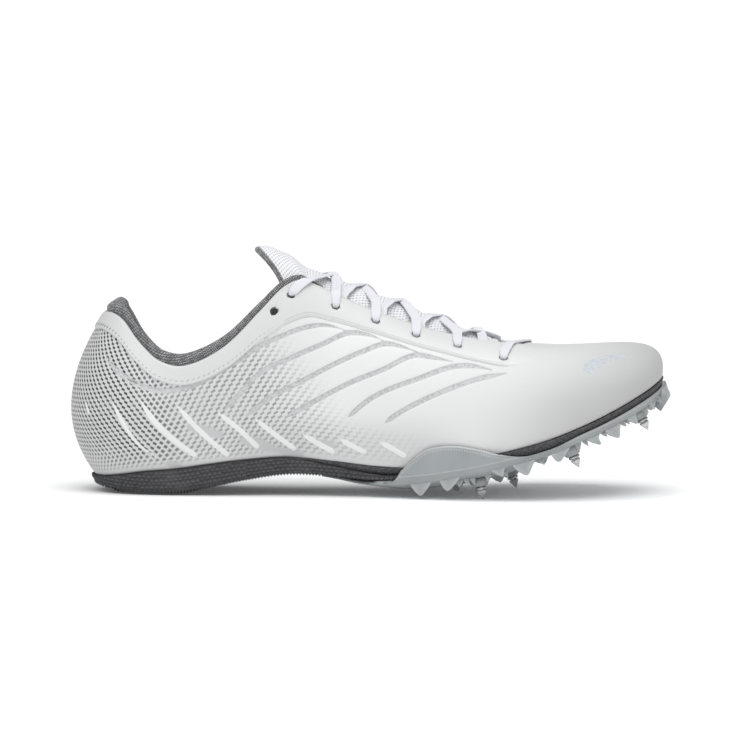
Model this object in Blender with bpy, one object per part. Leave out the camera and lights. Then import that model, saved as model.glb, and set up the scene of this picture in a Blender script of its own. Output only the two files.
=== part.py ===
"""Track spike shoe for the right foot, standing empty on its heel and its two rear pins.

X runs from heel to toe, -Y is the outer (lateral) side and +Z is up. The origin is the middle of the
flat spot under the heel. Every piece is worked out from the same few curves round the shoe: the
footprint, where the upper meets the sole, and the topline, the edge of the collar and the throat.

A place round the shoe is a number called lap: 0 at the back of the heel, 1 at the tip of the toe
along the lateral side, and back to 2 along the medial side. A station runs from 0 at the heel to 1
at the toe, so lap = station on the lateral side and 2 - station on the medial side.
"""

import math

import bpy
import numpy as np
from mathutils import Vector
from mathutils.bvhtree import BVHTree

MM = 0.001

# Main sizes of the last, in metres
LAST_LENGTH = 0.270  # footprint, heel to toe
HEEL_TO_REST = 0.031  # back of the footprint to the middle of the heel's flat spot
BALL_WIDTH = 0.0886
TOE_LIFT = 0.0562  # height of the sole's top edge at the toe
INSTEP_HEIGHT = 0.102  # height of the topline at its highest, beside the tongue
THROAT_SPREAD = 0.048  # width between the lateral and medial topline at the instep

# Walls and gaps
CLEARANCE = 0.0003
UPPER_WALL = 0.0016
PANEL_STEP = 0.0007  # how far the collar and eyelet panel stands proud
TUCK = 0.0014  # how far the upper is set in where it goes down inside the sole's rim
INSOLE_THICKNESS = 0.003
TONGUE_THICKNESS = 0.0030
TONGUE_GAP = 0.0005  # room round the tongue where it slides under the upper

# Sole
RIM_DEPTH = 0.0022  # height of the rim round the footbed
RIM_SHARE = 0.36  # and the most it takes of the sole's side
SOLE_PROUD = 0.0013  # how far the sole's top edge stands out past the upper
SOLE_UNDERCUT = 0.0004  # how far its lower edge is drawn in
SOLE_BULGE = 0.0012
RUBBER_THICKNESS = 0.0016
RUBBER_SIDE = 0.0009
RUBBER_SHARE = 0.3  # the most of the sole's side that the rubber's bottom takes
RUBBER_STATIONS = (0.40, 0.535)  # where its top edge starts to fall, and where it ends
PLATE_THICKNESS = 0.0018
TAIL_SLACK = 0.0006  # more room between the plate's tail and the rubber
WING_HEIGHT = 0.0132
WING_THICKNESS = 0.0013
WING_SLACK = 0.0005  # more room between a wing and the side it stands against
BELLY_POWER = 3.5  # how flat the underside is across

# Spike pins, their bosses and the lugs
PIN_LENGTH = 0.0060
PIN_BASE_RADIUS = 0.0027
PIN_WAIST_RADIUS = 0.0020
PIN_TIP_RADIUS = 0.0005
PIN_BASE_HEIGHT = 0.0013
BOSS_RADIUS = 0.0046
BOSS_HEIGHT = 0.0044
LUG_HEIGHT = 0.0062
LUG_THICKNESS = 0.0026
ROOT = 0.0009  # how far a lug or boss is let into the plate

# Laces and eyelets
EYELET_RADIUS = 0.0018
EYELET_INSET = 0.0078  # from the topline to the middle of an eyelet
LACE_WIDTH = 0.0046
LACE_THICKNESS = 0.0012
LACE_GAP = 0.0009
LACE_DIVE = 0.3  # where it goes under the far panel, from the eyelet behind to the one ahead
LACE_HIDDEN = 0.0135  # how far ahead the last crossing starts from under the panels
LACE_END = 0.0030  # how far short of the far topline a strap stops
TOP_LACE_HELD = 0.45  # share of its way that the loose top crossing goes straight across the shoe

# Sole edge: station, lateral and medial half width as shares of BALL_WIDTH,
# height of the sole's top edge and of its lower edge as shares of TOE_LIFT,
# and how far the middle of the underside hangs below its lower edge, in millimetres
FOOTPRINT = (
    (0.00, 0.000, 0.000, 0.144, 0.084, 0.0),
    (0.05, 0.103, 0.098, 0.142, 0.078, 0.7),
    (0.10, 0.192, 0.183, 0.145, 0.062, 1.6),
    (0.15, 0.254, 0.240, 0.165, 0.042, 2.2),
    (0.20, 0.293, 0.277, 0.196, 0.028, 2.3),
    (0.25, 0.314, 0.290, 0.220, 0.037, 2.5),
    (0.30, 0.319, 0.284, 0.262, 0.083, 1.6),
    (0.35, 0.309, 0.262, 0.303, 0.145, 1.0),
    (0.40, 0.299, 0.237, 0.326, 0.193, 0.8),
    (0.45, 0.312, 0.238, 0.297, 0.181, 1.0),
    (0.50, 0.352, 0.268, 0.262, 0.158, 2.4),
    (0.55, 0.415, 0.338, 0.262, 0.192, 5.2),
    (0.60, 0.474, 0.418, 0.332, 0.258, 6.6),
    (0.65, 0.501, 0.474, 0.415, 0.341, 6.2),
    (0.70, 0.496, 0.506, 0.508, 0.434, 3.2),
    (0.75, 0.464, 0.510, 0.622, 0.548, 1.6),
    (0.80, 0.406, 0.480, 0.736, 0.660, 1.0),
    (0.85, 0.327, 0.428, 0.840, 0.763, 0.7),
    (0.90, 0.231, 0.361, 0.922, 0.846, 0.5),
    (0.95, 0.100, 0.240, 0.977, 0.900, 0.3),
    (1.00, -0.079, 0.079, 1.000, 0.925, 0.0),
)

# Topline: station, distance ahead of the footprint's heel as a share of LAST_LENGTH, lateral and
# medial half width as shares of THROAT_SPREAD, lateral and medial height as shares of INSTEP_HEIGHT
TOPLINE = (
    (0.00, 0.016, 0.000, 0.000, 0.828, 0.828),
    (0.05, 0.021, 0.190, 0.190, 0.835, 0.840),
    (0.10, 0.034, 0.330, 0.325, 0.836, 0.852),
    (0.15, 0.056, 0.435, 0.425, 0.800, 0.784),
    (0.20, 0.085, 0.520, 0.505, 0.702, 0.664),
    (0.25, 0.122, 0.590, 0.570, 0.618, 0.578),
    (0.30, 0.170, 0.625, 0.600, 0.603, 0.564),
    (0.35, 0.238, 0.610, 0.590, 0.700, 0.666),
    (0.39, 0.293, 0.570, 0.555, 0.850, 0.834),
    (0.425, 0.333, 0.530, 0.520, 0.960, 0.958),
    (0.455, 0.364, 0.500, 0.490, 0.998, 0.996),
    (0.49, 0.396, 0.475, 0.470, 0.968, 0.966),
    (0.55, 0.470, 0.435, 0.435, 0.880, 0.880),
    (0.60, 0.545, 0.400, 0.410, 0.806, 0.806),
    (0.70, 0.660, 0.325, 0.370, 0.728, 0.728),
    (0.80, 0.727, 0.215, 0.310, 0.702, 0.702),
    (0.90, 0.752, 0.070, 0.200, 0.694, 0.694),
    (1.00, 0.757, -0.065, 0.065, 0.692, 0.692),
)

# Swell of the side: station, then the two handles of the rib's curve in millimetres. The lower
# handle leans out and up from the sole, the upper one forward, sideways and down from the topline
SWELL = (
    (0.00, 16.0, 21.5, -19.5, 0.0, 31.0),
    (0.10, 14.0, 21.5, -14.0, 10.0, 31.0),
    (0.20, 9.0, 19.0, -4.0, 10.0, 26.0),
    (0.30, 5.0, 17.0, 1.0, 4.0, 18.0),
    (0.40, 8.0, 22.0, 4.0, 9.0, 26.0),
    (0.50, 8.0, 25.0, 6.0, 14.0, 20.0),
    (0.60, 5.0, 24.0, 8.0, 17.0, 12.0),
    (0.70, 4.0, 22.0, 12.0, 17.0, 7.0),
    (0.80, 3.5, 19.2, 24.0, 15.0, 3.4),
    (0.90, 4.2, 20.8, 34.0, 8.0, 2.8),
    (1.00, 4.2, 24.0, 39.0, 0.0, 2.8),
)

# Collar and eyelet panel: station and the panel's width down from the topline, in millimetres
PANEL = (
    (0.00, 8.0),
    (0.10, 9.0),
    (0.20, 10.0),
    (0.30, 9.0),
    (0.38, 12.0),
    (0.45, 19.0),
    (0.60, 19.0),
    (0.75, 17.0),
    (0.85, 13.0),
    (1.00, 9.0),
)

# Tongue: station, how far its side edge runs down inside the upper, and how far its crest lies ahead
# of and above the topline, all in millimetres
TONGUE = (
    (0.425, 5.0, -13.5, 18.5),
    (0.445, 8.0, -10.0, 15.0),
    (0.465, 10.0, -6.5, 9.8),
    (0.500, 12.0, -1.0, 6.0),
    (0.550, 12.0, 0.0, 7.6),
    (0.600, 12.0, 0.0, 7.2),
    (0.700, 12.0, 0.0, 3.4),
    (0.780, 10.0, 0.0, 0.2),
    (0.860, 8.0, 0.0, -1.8),
    (1.000, 7.0, 0.0, -2.6),
)

# Collar lining: station, height of its roll above the topline, thickness of the roll and of the pad
# below it, and how far it runs down inside, all in millimetres
LINING = (
    (0.00, 6.6, 5.2, 3.2, 36.0),
    (0.08, 6.4, 5.0, 3.2, 35.0),
    (0.15, 5.0, 4.6, 3.0, 33.0),
    (0.20, 4.2, 4.4, 3.0, 31.0),
    (0.30, 4.8, 3.8, 2.6, 26.0),
    (0.38, 5.2, 3.0, 2.0, 22.0),
    (0.44, 4.0, 2.2, 1.4, 18.0),
    (0.50, 2.4, 1.4, 1.0, 14.0),
    (1.00, 2.4, 1.4, 1.0, 14.0),
)
LINING_END = 0.50

# Wing and lip of the plate: station and rise above the sole's lower edge, as a share of WING_HEIGHT
WING = (
    (0.000, 0.06),
    (0.500, 0.06),
    (0.515, 0.10),
    (0.528, 0.34),
    (0.540, 0.62),
    (0.556, 0.94),
    (0.570, 1.00),
    (0.585, 0.95),
    (0.611, 0.68),
    (0.639, 0.30),
    (0.660, 0.08),
    (0.750, 0.08),
    (1.000, 0.08),
)

# Reach of the plate across the sole: station and share of the half width
PLATE_REACH = (
    (0.4375, 0.20),
    (0.46875, 0.55),
    (0.500, 1.00),
    (1.000, 1.00),
)

# Eyelets from the ankle down: lateral and medial station, lateral and medial distance below the
# topline as shares of EYELET_INSET
EYELETS = (
    (0.408, 0.408, 0.84, 0.84),
    (0.436, 0.436, 0.72, 0.72),
    (0.508, 0.508, 1.09, 1.09),
    (0.560, 0.560, 1.00, 1.00),
    (0.604, 0.604, 1.20, 1.20),
    (0.656, 0.656, 1.50, 1.50),
    (0.708, 0.800, 2.69, 1.70),
)
FIRST_LACED = 1  # the hole nearest the ankle is left unlaced

# Spike pins: station, share of the half width (minus is lateral), and 1 where it stands on the floor
PINS = (
    (0.615, -0.72, 1),
    (0.655, 0.59, 1),
    (0.731, -0.68, 0),
    (0.731, 0.66, 0),
    (0.858, -0.56, 0),
    (0.858, 0.58, 0),
)

# Lugs along both edges of the plate: station, length in millimetres, share of LUG_HEIGHT, and how
# far ahead of the middle its tip is, in millimetres
EDGE_LUGS = (
    (0.548, 11.0, 1.00, -1.0),
    (0.580, 11.0, 0.95, -2.0),
    (0.636, 7.0, 0.70, 1.0),
    (0.667, 11.5, 1.05, 0.0),
    (0.716, 10.0, 0.80, -2.2),
    (0.765, 6.5, 0.85, 2.0),
    (0.800, 9.5, 1.05, 1.0),
    (0.840, 6.0, 0.85, 2.0),
    (0.905, 7.0, 0.75, 1.0),
    (0.945, 5.0, 0.85, 1.0),
)

# Lugs inside the edge: station, share of the half width, length in millimetres
INNER_LUGS = (
    (0.590, -0.25, 7.0),
    (0.590, 0.30, 7.0),
    (0.640, -0.30, 7.0),
    (0.695, -0.30, 8.0),
    (0.695, 0.32, 8.0),
    (0.775, -0.26, 7.0),
    (0.775, 0.30, 7.0),
    (0.835, 0.04, 7.0),
)

# Toe claw: distance out from the footprint and height above the sole's lower edge, in millimetres
TOE_CLAW = (
    (0.5, -1.2),
    (2.6, 1.6),
    (3.6, -1.5),
    (4.8, -4.0),
    (1.6, -9.4),
    (-2.0, -6.6),
    (-1.2, -2.6),
)
CLAW_LAPS = (0.935, 1.065)

HALF = 32  # stations from heel to toe
RIBS = 2 * HALF
ACROSS = 4  # faces across the footbed and the underside
LAPS = np.arange(RIBS) / HALF


def smooth(laps, values, at):
    """Cubic through (laps, values), closed after two laps."""
    knots = np.concatenate([np.add(laps, -2.0), laps, np.add(laps, 2.0)])
    heights = np.tile(values, 3)
    steps = np.diff(knots)
    grades = np.diff(heights) / steps
    slopes = np.zeros(len(knots))
    slopes[1:-1] = (grades[:-1] * steps[1:] + grades[1:] * steps[:-1]) / (steps[1:] + steps[:-1])
    at = np.mod(at, 2.0)
    i = np.searchsorted(knots, at, side="right") - 1
    t = (at - knots[i]) / steps[i]
    return (
        heights[i] * (1 + 2 * t) * (1 - t) ** 2
        + slopes[i] * steps[i] * t * (1 - t) ** 2
        + heights[i + 1] * t * t * (3 - 2 * t)
        + slopes[i + 1] * steps[i] * t * t * (t - 1)
    )


def column(table, lateral, medial=None, signed=False):
    """One column of a table as a function of the lap. A signed column is negative on the lateral side."""
    medial = lateral if medial is None else medial
    sign = -1.0 if signed else 1.0
    rows = [(row[0], sign * row[lateral]) for row in table]
    rows += [(2.0 - row[0], row[medial]) for row in reversed(table[1:-1])]
    laps, values = np.array(rows).T
    return lambda at: smooth(laps, values, at)


def straight(table, index):
    """One column of a table as a function of the station, straight between its rows."""
    stations = [row[0] for row in table]
    values = [row[index] for row in table]
    return lambda at: np.interp(station_of(at), stations, values)


def station_of(lap):
    return 1.0 - np.abs(1.0 - np.mod(lap, 2.0))


edge_side = column(FOOTPRINT, 1, 2, signed=True)
edge_top = column(FOOTPRINT, 3)
edge_low = column(FOOTPRINT, 4)
belly = column(FOOTPRINT, 5)
top_ahead = column(TOPLINE, 1)
top_side = column(TOPLINE, 2, 3, signed=True)
top_height = column(TOPLINE, 4, 5)
lower_out = column(SWELL, 1)
lower_up = column(SWELL, 2)
upper_ahead = column(SWELL, 3)
upper_side = column(SWELL, 4, signed=True)
upper_down = column(SWELL, 5)
panel_width = column(PANEL, 1)
wing_rise = straight(WING, 1)
plate_reach = straight(PLATE_REACH, 1)


def stack(*parts):
    return np.stack(np.broadcast_arrays(*parts), axis=-1)


def footprint(lap):
    """The sole's top edge, as X, Y and Z."""
    ahead = 0.5 * LAST_LENGTH * (1 - np.cos(math.pi * np.asarray(lap))) - HEEL_TO_REST
    return stack(ahead, BALL_WIDTH * edge_side(lap), TOE_LIFT * edge_top(lap))


def outward(lap):
    """Level direction straight out from the footprint."""
    along = footprint(np.add(lap, 0.004)) - footprint(np.subtract(lap, 0.004))
    along = along / np.linalg.norm(along[..., :2], axis=-1, keepdims=True)
    return stack(along[..., 1], -along[..., 0], 0.0)


def topline(lap):
    return stack(
        LAST_LENGTH * top_ahead(lap) - HEEL_TO_REST,
        THROAT_SPREAD * top_side(lap),
        INSTEP_HEIGHT * top_height(lap),
    )


def skin(lap, v):
    """Outer face of the upper: v runs from 0 at the sole to 1 at the topline."""
    lap, v = np.broadcast_arrays(lap, v)
    start = footprint(lap) + np.array([0.0, 0.0, CLEARANCE])
    end = topline(lap)
    low = start + outward(lap) * (lower_out(lap) * MM)[..., None]
    low = low + stack(0.0, 0.0, lower_up(lap) * MM)
    high = end + stack(upper_ahead(lap), upper_side(lap), -upper_down(lap)) * MM
    v = v[..., None]
    return (
        start * (1 - v) ** 3 + 3 * low * v * (1 - v) ** 2 + 3 * high * v * v * (1 - v) + end * v**3
    )


def skin_frame(lap, v):
    """Unit normal out of the upper, and unit direction up towards the topline."""
    around = skin(np.add(lap, 0.004), v) - skin(np.subtract(lap, 0.004), v)
    up = skin(lap, np.minimum(np.add(v, 0.01), 1.0)) - skin(lap, np.maximum(np.subtract(v, 0.01), 0.0))
    normal = np.cross(around, up)
    normal /= np.linalg.norm(normal, axis=-1, keepdims=True)
    return normal, up / np.linalg.norm(up, axis=-1, keepdims=True)


def at_distance(lap, distance, from_top=True):
    """v at a distance along the upper from the topline, or from the sole."""
    lap, distance = np.broadcast_arrays(lap, distance)
    places = np.linspace(0.0, 1.0, 81)
    found = np.empty(lap.shape)
    for index in np.ndindex(lap.shape):
        line = skin(lap[index], places)
        length = np.concatenate([[0.0], np.cumsum(np.linalg.norm(np.diff(line, axis=0), axis=-1))])
        wanted = length[-1] - distance[index] if from_top else distance[index]
        found[index] = np.interp(wanted, length, places)
    return found


def side(lap, height, out):
    """A place `out` off the sole's side, at a height above its lower edge, and higher up off the upper."""
    edge = footprint(lap)
    low = TOE_LIFT * edge_low(lap)
    tall = edge[..., 2] - low
    height = np.broadcast_to(height, tall.shape)
    share = np.clip(height / tall, 0.0, 1.0)
    slope = -SOLE_UNDERCUT + (SOLE_PROUD + SOLE_UNDERCUT) * share + SOLE_BULGE * share * (1 - share)
    flat = edge + outward(lap) * (slope + out)[..., None]
    flat[..., 2] = low + height
    above = np.maximum(height - tall, 0.0)
    v = at_distance(lap, above, from_top=False)
    normal, _ = skin_frame(lap, v)
    standing = out + SOLE_PROUD * np.clip(1.0 - above / 0.003, 0.0, 1.0)
    return np.where((above > 0.0)[..., None], skin(lap, v) + normal * standing[..., None], flat)


def across(ring, hang, lowest, reach=None):
    """For each station, a row from the lateral to the medial side of a ring, hanging in the middle."""
    rows = []
    for i in range(HALF + 1):
        lateral, medial = ring[i], ring[(RIBS - i) % RIBS]
        share = np.linspace(-1.0, 1.0, ACROSS + 1) * (1.0 if reach is None else reach[i])
        row = lateral + (medial - lateral) * (share[:, None] + 1) / 2
        drop = hang[i] * (1 - np.abs(share) ** BELLY_POWER)
        row[:, 2] = np.maximum(row[:, 2] - drop, lowest[i])
        rows.append(row)
    return rows


class Sheet:
    """Points and triangles being gathered. Each point has a twin on the far face of the wall."""

    def __init__(self):
        self.near = []
        self.far = []
        self.faces = []

    def add(self, near, far=None):
        first = len(self.near)
        self.near.extend(near)
        self.far.extend(near if far is None else far)
        return list(range(first, first + len(near)))

    def strip(self, low, high, closed=False):
        """Faces between two rows of points, `high` on the left of the way that `low` runs."""
        if closed:
            low, high = low + low[:1], high + high[:1]
        for a, b, c, d in zip(low, low[1:], high[1:], high):
            self.faces += [face for face in ((a, b, c), (a, c, d)) if len(set(face)) == 3]

    def thicken(self):
        """Closes the sheet with its twin and a wall round every open edge."""
        count = len(self.near)
        edges = {(f[k], f[(k + 1) % 3]) for f in self.faces for k in range(3)}
        rim = [(a, b) for a, b in edges if (b, a) not in edges]
        self.faces += [(c + count, b + count, a + count) for a, b, c in self.faces]
        for a, b in sorted(rim):
            self.faces += [(b, a, a + count), (b, a + count, b + count)]
        self.near += self.far


def add_object(name, points, faces, color, roughness=0.6, metallic=0.0):
    used = sorted({index for face in faces for index in face})
    place = {old: new for new, old in enumerate(used)}
    mesh = bpy.data.meshes.new(name)
    mesh.from_pydata(
        [tuple(points[index]) for index in used],
        [],
        [[place[index] for index in face] for face in faces],
    )
    mesh.polygons.foreach_set("use_smooth", [True] * len(mesh.polygons))
    material = bpy.data.materials.new(name)
    material.use_nodes = True
    shader = material.node_tree.nodes["Principled BSDF"]
    shader.inputs["Base Color"].default_value = (*color, 1.0)
    shader.inputs["Roughness"].default_value = roughness
    shader.inputs["Metallic"].default_value = metallic
    mesh.materials.append(material)
    made = bpy.data.objects.new(name, mesh)
    bpy.context.scene.collection.objects.link(made)
    return made


def helper(name, points, faces):
    """A closed body that is cut from or joined to another one."""
    made = add_object(name, points, faces, (0.5, 0.5, 0.5))
    made.hide_render = True
    made.display_type = "WIRE"
    return made


def combine(target, others, operation):
    for other in others:
        step = target.modifiers.new(other.name, "BOOLEAN")
        step.operation = operation
        step.solver = "EXACT"
        step.object = other


def prism(outline, near, far):
    """Points and faces of a closed body whose outline is given as functions of two end rings."""
    count = len(outline)
    points = [near(p) for p in outline] + [far(p) for p in outline]
    faces = []
    for k in range(count):
        after = (k + 1) % count
        faces += [(k, after, count + after), (k, count + after, count + k)]
    for k in range(1, count - 1):
        faces += [(0, k + 1, k), (count, count + k, count + k + 1)]
    return points, faces


def facing_out(points, faces):
    corners = np.array(points)[np.array(faces)]
    volume = np.einsum("ij,ij->i", corners[:, 0], np.cross(corners[:, 1], corners[:, 2])).sum()
    return faces if volume > 0 else [face[::-1] for face in faces]


def cap(sheet, ring, rows, facing_up):
    """Closes a ring of points with rows that run from its lateral to its medial side."""
    before = [ring[0]] * (ACROSS + 1)
    for i in range(1, HALF + 1):
        if i == HALF:
            row = [ring[HALF]] * (ACROSS + 1)
        else:
            row = [ring[i]] + sheet.add(rows[i][1:-1]) + [ring[RIBS - i]]
        sheet.strip(*((before, row)[::-1] if facing_up else (before, row)))
        before = row


def tub(rings, bottom, top):
    """Closed body of stacked rings, with rows of points across the lowest and the highest one."""
    sheet = Sheet()
    rows = [sheet.add(ring) for ring in rings]
    for low, high in zip(rows, rows[1:]):
        sheet.strip(low, high, closed=True)
    cap(sheet, rows[0], bottom, facing_up=False)
    cap(sheet, rows[-1], top, facing_up=True)
    return sheet.near, sheet.faces


bpy.ops.object.select_all(action="DESELECT")
for old in list(bpy.data.objects):
    bpy.data.objects.remove(old, do_unlink=True)

edge = footprint(LAPS)
out = outward(LAPS)
station = station_of(LAPS)
tall = edge[:, 2] - TOE_LIFT * edge_low(LAPS)
rim_depth = np.minimum(RIM_DEPTH, RIM_SHARE * tall)
hang = belly(LAPS) * MM
flat = np.zeros(RIBS)


def ring_at(outside, height):
    """Ring at a distance out from the footprint and a height above the ground."""
    ring = edge + out * np.broadcast_to(outside, (RIBS,))[:, None]
    ring[:, 2] = height
    return ring


# Rubber heel: how thick it is and how high its side stands, round the shoe
rubber = np.minimum(RUBBER_THICKNESS, RUBBER_SHARE * tall)
wrapped = station < RUBBER_STATIONS[1]
layer = np.where(wrapped, rubber + CLEARANCE, 0.0)
fall = np.clip((station - RUBBER_STATIONS[0]) / (RUBBER_STATIONS[1] - RUBBER_STATIONS[0]), 0.0, 1.0)
rubber_top = tall * (1 - 0.86 * fall)
inset = np.where(wrapped, RUBBER_SIDE + CLEARANCE, 0.0)
low = edge[:, 2] - tall
floor = edge[:, 2] - rim_depth
level = np.full(RIBS, -1.0)


def slope_ring(height, bottom, inward):
    """Ring on a slope from the sole's lower to its top edge, starting `bottom` above the lower edge."""
    share = np.clip((height - bottom) / (tall - bottom), 0.0, 1.0)
    outside = -SOLE_UNDERCUT + (SOLE_PROUD + SOLE_UNDERCUT) * share + SOLE_BULGE * share * (1 - share)
    return ring_at(outside - inward, low + height)


# Midsole: a full-length foam cup whose rim stands up round the upper
rim = -TUCK + CLEARANCE
rings = [slope_ring(layer + (tall - layer) * share, layer, inset) for share in (0.0, 0.5, 1.0)]
rings += [ring_at(rim, edge[:, 2]), ring_at(rim, floor)]
bottom = across(rings[0], hang, layer)
add_object("midsole", *tub(rings, bottom, across(rings[-1], flat, level)), (0.06, 0.06, 0.065))

# Insole: fills the bottom of the upper
inside = -TUCK - UPPER_WALL - CLEARANCE
rings = [ring_at(inside, floor + CLEARANCE), ring_at(inside, floor + CLEARANCE + INSOLE_THICKNESS)]
flats = [across(ring, flat, level) for ring in rings]
add_object("insole", *tub(rings, *flats), (0.45, 0.45, 0.47))

# Rubber heel: wraps the midsole from below and up its side
last = int(RUBBER_STATIONS[1] * HALF)
outer = [slope_ring(rubber_top * share, 0.0, 0.0) for share in (0.0, 0.5, 1.0)]
lining_tops = [np.maximum(rubber_top * share, layer) for share in (0.0, 0.5, 1.0)]
inner = [slope_ring(height, layer, inset - CLEARANCE) for height in lining_tops]
inner[0][:, 2] = low + rubber
outer_rows = across(outer[0], hang, flat)
inner_rows = across(inner[0], hang, rubber)
band = np.arange(-last, last + 1) % RIBS
sheet = Sheet()
rows = [sheet.add(near[band], far[band]) for near, far in zip(outer, inner)]
for below, above in zip(rows, rows[1:]):
    sheet.strip(below, above)
before = [rows[0][last]] * (ACROSS + 1)
for i in range(1, last + 1):
    middle = sheet.add(outer_rows[i][1:-1], inner_rows[i][1:-1])
    row = [rows[0][last + i]] + middle + [rows[0][last - i]]
    sheet.strip(before, row)
    before = row
sheet.thicken()
add_object("heel_outsole", sheet.near, sheet.faces, (0.035, 0.035, 0.037))

# Spike plate: a springy tray with a lip, a tail under the arch and a wing up each side
start = int(round(PLATE_REACH[0][0] * HALF))
full = int(round(PLATE_REACH[2][0] * HALF))
reach = plate_reach(LAPS)
rise = WING_HEIGHT * wing_rise(LAPS)


def plate_corner(lap, outside, depth):
    """The plate's corner under the sole's lower edge, by how far out and how deep it is."""
    place = footprint(lap) + outward(lap) * (CLEARANCE - SOLE_UNDERCUT + outside)
    slack = CLEARANCE + TAIL_SLACK * np.clip((0.60 - station_of(lap)) / 0.06, 0.0, 1.0)
    taper = np.clip(0.45 + 0.55 * (station_of(lap) * HALF - start) / 3, 0.45, 1.0)
    place[..., 2] = TOE_LIFT * edge_low(lap) - slack - depth * taper
    return place


corner_in = plate_corner(LAPS, 0.0, 0.0)
corner_out = plate_corner(LAPS, WING_THICKNESS, PLATE_THICKNESS)
top_rows = across(corner_in, hang, level, reach)
under_rows = across(corner_out, hang, level, reach)
band = np.arange(full, RIBS - full + 1)
sheet = Sheet()
laps = LAPS[band]
corner = sheet.add(corner_out[band], corner_in[band])
rows = [corner]
loose = CLEARANCE + WING_SLACK * np.clip((0.70 - station[band]) / 0.04, 0.0, 1.0)
for share in (0.25, 0.6, 1.0):
    height = rise[band] * share
    near = side(laps, height, loose + WING_THICKNESS * (1.0 - 0.35 * share))
    rows.append(sheet.add(near, side(laps, height, loose)))
for below, above in zip(rows, rows[1:]):
    sheet.strip(below, above)
before = None
for i in range(start, HALF + 1):
    if i < full:
        row = sheet.add(under_rows[i], top_rows[i])
    elif i == HALF:
        row = [corner[i - full]] * (ACROSS + 1)
    else:
        middle = sheet.add(under_rows[i][1:-1], top_rows[i][1:-1])
        row = [corner[i - full]] + middle + [corner[RIBS - i - full]]
    if before:
        sheet.strip(before, row)
    before = row
sheet.thicken()
plate = add_object("spike_plate", sheet.near, sheet.faces, (0.42, 0.45, 0.47), 0.35)

# Upper: one hollow wall from inside the rim to the topline, open at the collar and underneath
width = panel_width(LAPS) * MM
panel_low = at_distance(LAPS, width)
panel_high = at_distance(LAPS, width - 0.0006)
levels = [(panel_low * share, 0.0) for share in (0.0, 0.16, 0.36, 0.58, 0.8, 1.0)]
levels += [
    (panel_high + (1 - panel_high) * share, PANEL_STEP * proud)
    for share, proud in ((0.0, 1.0), (0.5, 1.0), (1.0, 0.2))
]
sheet = Sheet()
tucked = (-TUCK, -TUCK - UPPER_WALL)
rows = [
    sheet.add(ring_at(tucked[0], floor + CLEARANCE), ring_at(tucked[1], floor + CLEARANCE)),
    sheet.add(
        ring_at(tucked[0], edge[:, 2] + CLEARANCE), ring_at(tucked[1], edge[:, 2] + CLEARANCE)
    ),
]
for v, proud in levels:
    normal, _ = skin_frame(LAPS, v)
    place = skin(LAPS, v)
    rows.append(sheet.add(place + normal * proud, place - normal * UPPER_WALL))
for below, above in zip(rows, rows[1:]):
    sheet.strip(below, above, closed=True)
sheet.thicken()
upper = add_object("upper", sheet.near, sheet.faces, (0.85, 0.85, 0.86), 0.5)
bodies = [(sheet.near, sheet.faces)]


def below_topline(lap, depth, inward):
    """A place inside the upper, by distance down from the topline and in from its outer face."""
    lap, depth, inward = np.broadcast_arrays(lap, depth, inward)
    v = at_distance(lap, np.maximum(depth, 0.0))
    normal, up = skin_frame(lap, v)
    return skin(lap, v) - normal * inward[..., None] + up * np.maximum(-depth, 0.0)[..., None]


# Collar lining: a pad inside the collar with a knit roll above the topline
roll, fat, pad, deep = (column(LINING, k) for k in (1, 2, 3, 4))
ends = int(LINING_END * HALF)
laps = np.arange(-ends, ends + 1) / HALF
skin_gap = UPPER_WALL + 1.5 * CLEARANCE
sheet = Sheet()
rows = []
for depth, near, far in (
    (deep(laps), 0.6 + 0.0 * laps, 1.5 + 0.0 * laps),
    (deep(laps) * 0.5, 0.4 + 0.0 * laps, pad(laps)),
    (0.0 * laps + 5.0, 0.0 * laps, pad(laps)),
    (0.0 * laps, 0.0 * laps, fat(laps) * 0.95),
    (-roll(laps) * 0.5, -roll(laps) * 0.1, fat(laps)),
    (-roll(laps) * 0.85, fat(laps) * 0.0, fat(laps) * 0.92),
    (-roll(laps), fat(laps) * 0.3, fat(laps) * 0.65),
):
    rows.append(
        sheet.add(
            below_topline(laps, depth * MM, skin_gap + near * MM),
            below_topline(laps, depth * MM, skin_gap + far * MM),
        )
    )
for below, above in zip(rows, rows[1:]):
    sheet.strip(below, above)
sheet.thicken()
lining = add_object("collar_lining", sheet.near, sheet.faces, (0.13, 0.13, 0.14), 0.9)
bodies.append((sheet.near, sheet.faces))

# Tongue: a sheet under the eyelet panels that rises over the instep
tongue_rows = [0.427] + [i / HALF for i in range(14, HALF - 1)] + [0.962]
tongue_at = [row[0] for row in TONGUE]
sheet = Sheet()
grid = []
for place in tongue_rows:
    depth, ahead, above = (np.interp(place, tongue_at, [row[k] for row in TONGUE]) * MM for k in (1, 2, 3))
    lined = place < LINING_END + 1.5 / HALF
    inward = UPPER_WALL + TONGUE_GAP + (CLEARANCE + TONGUE_GAP + fat(place) * MM if lined else 0.0)
    sides = []
    for lap in (place, 2.0 - place):
        points = [below_topline(lap, depth * share, inward) for share in (1.0, 0.5, 0.1)]
        sides.append(points)
    middle = (topline(place) + topline(2.0 - place)) / 2 + np.array([ahead, 0.0, above])
    row = []
    for lap, points in zip((place, 2.0 - place), sides):
        base = points[-1]
        _, up = skin_frame(lap, 1.0)
        reach_up = base + up * 0.36 * np.linalg.norm(middle - base)
        level_out = middle + np.array([0.0, base[1] - middle[1], 0.0]) * 0.5
        arch = [
            base * (1 - t) ** 3
            + 3 * reach_up * t * (1 - t) ** 2
            + 3 * level_out * t * t * (1 - t)
            + middle * t**3
            for t in (0.33, 0.66)
        ]
        row.append(points + arch)
    grid.append(row[0] + [middle] + row[1][::-1])
grid = np.array(grid)
normal = np.cross(np.gradient(grid, axis=0), np.gradient(grid, axis=1))
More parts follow.
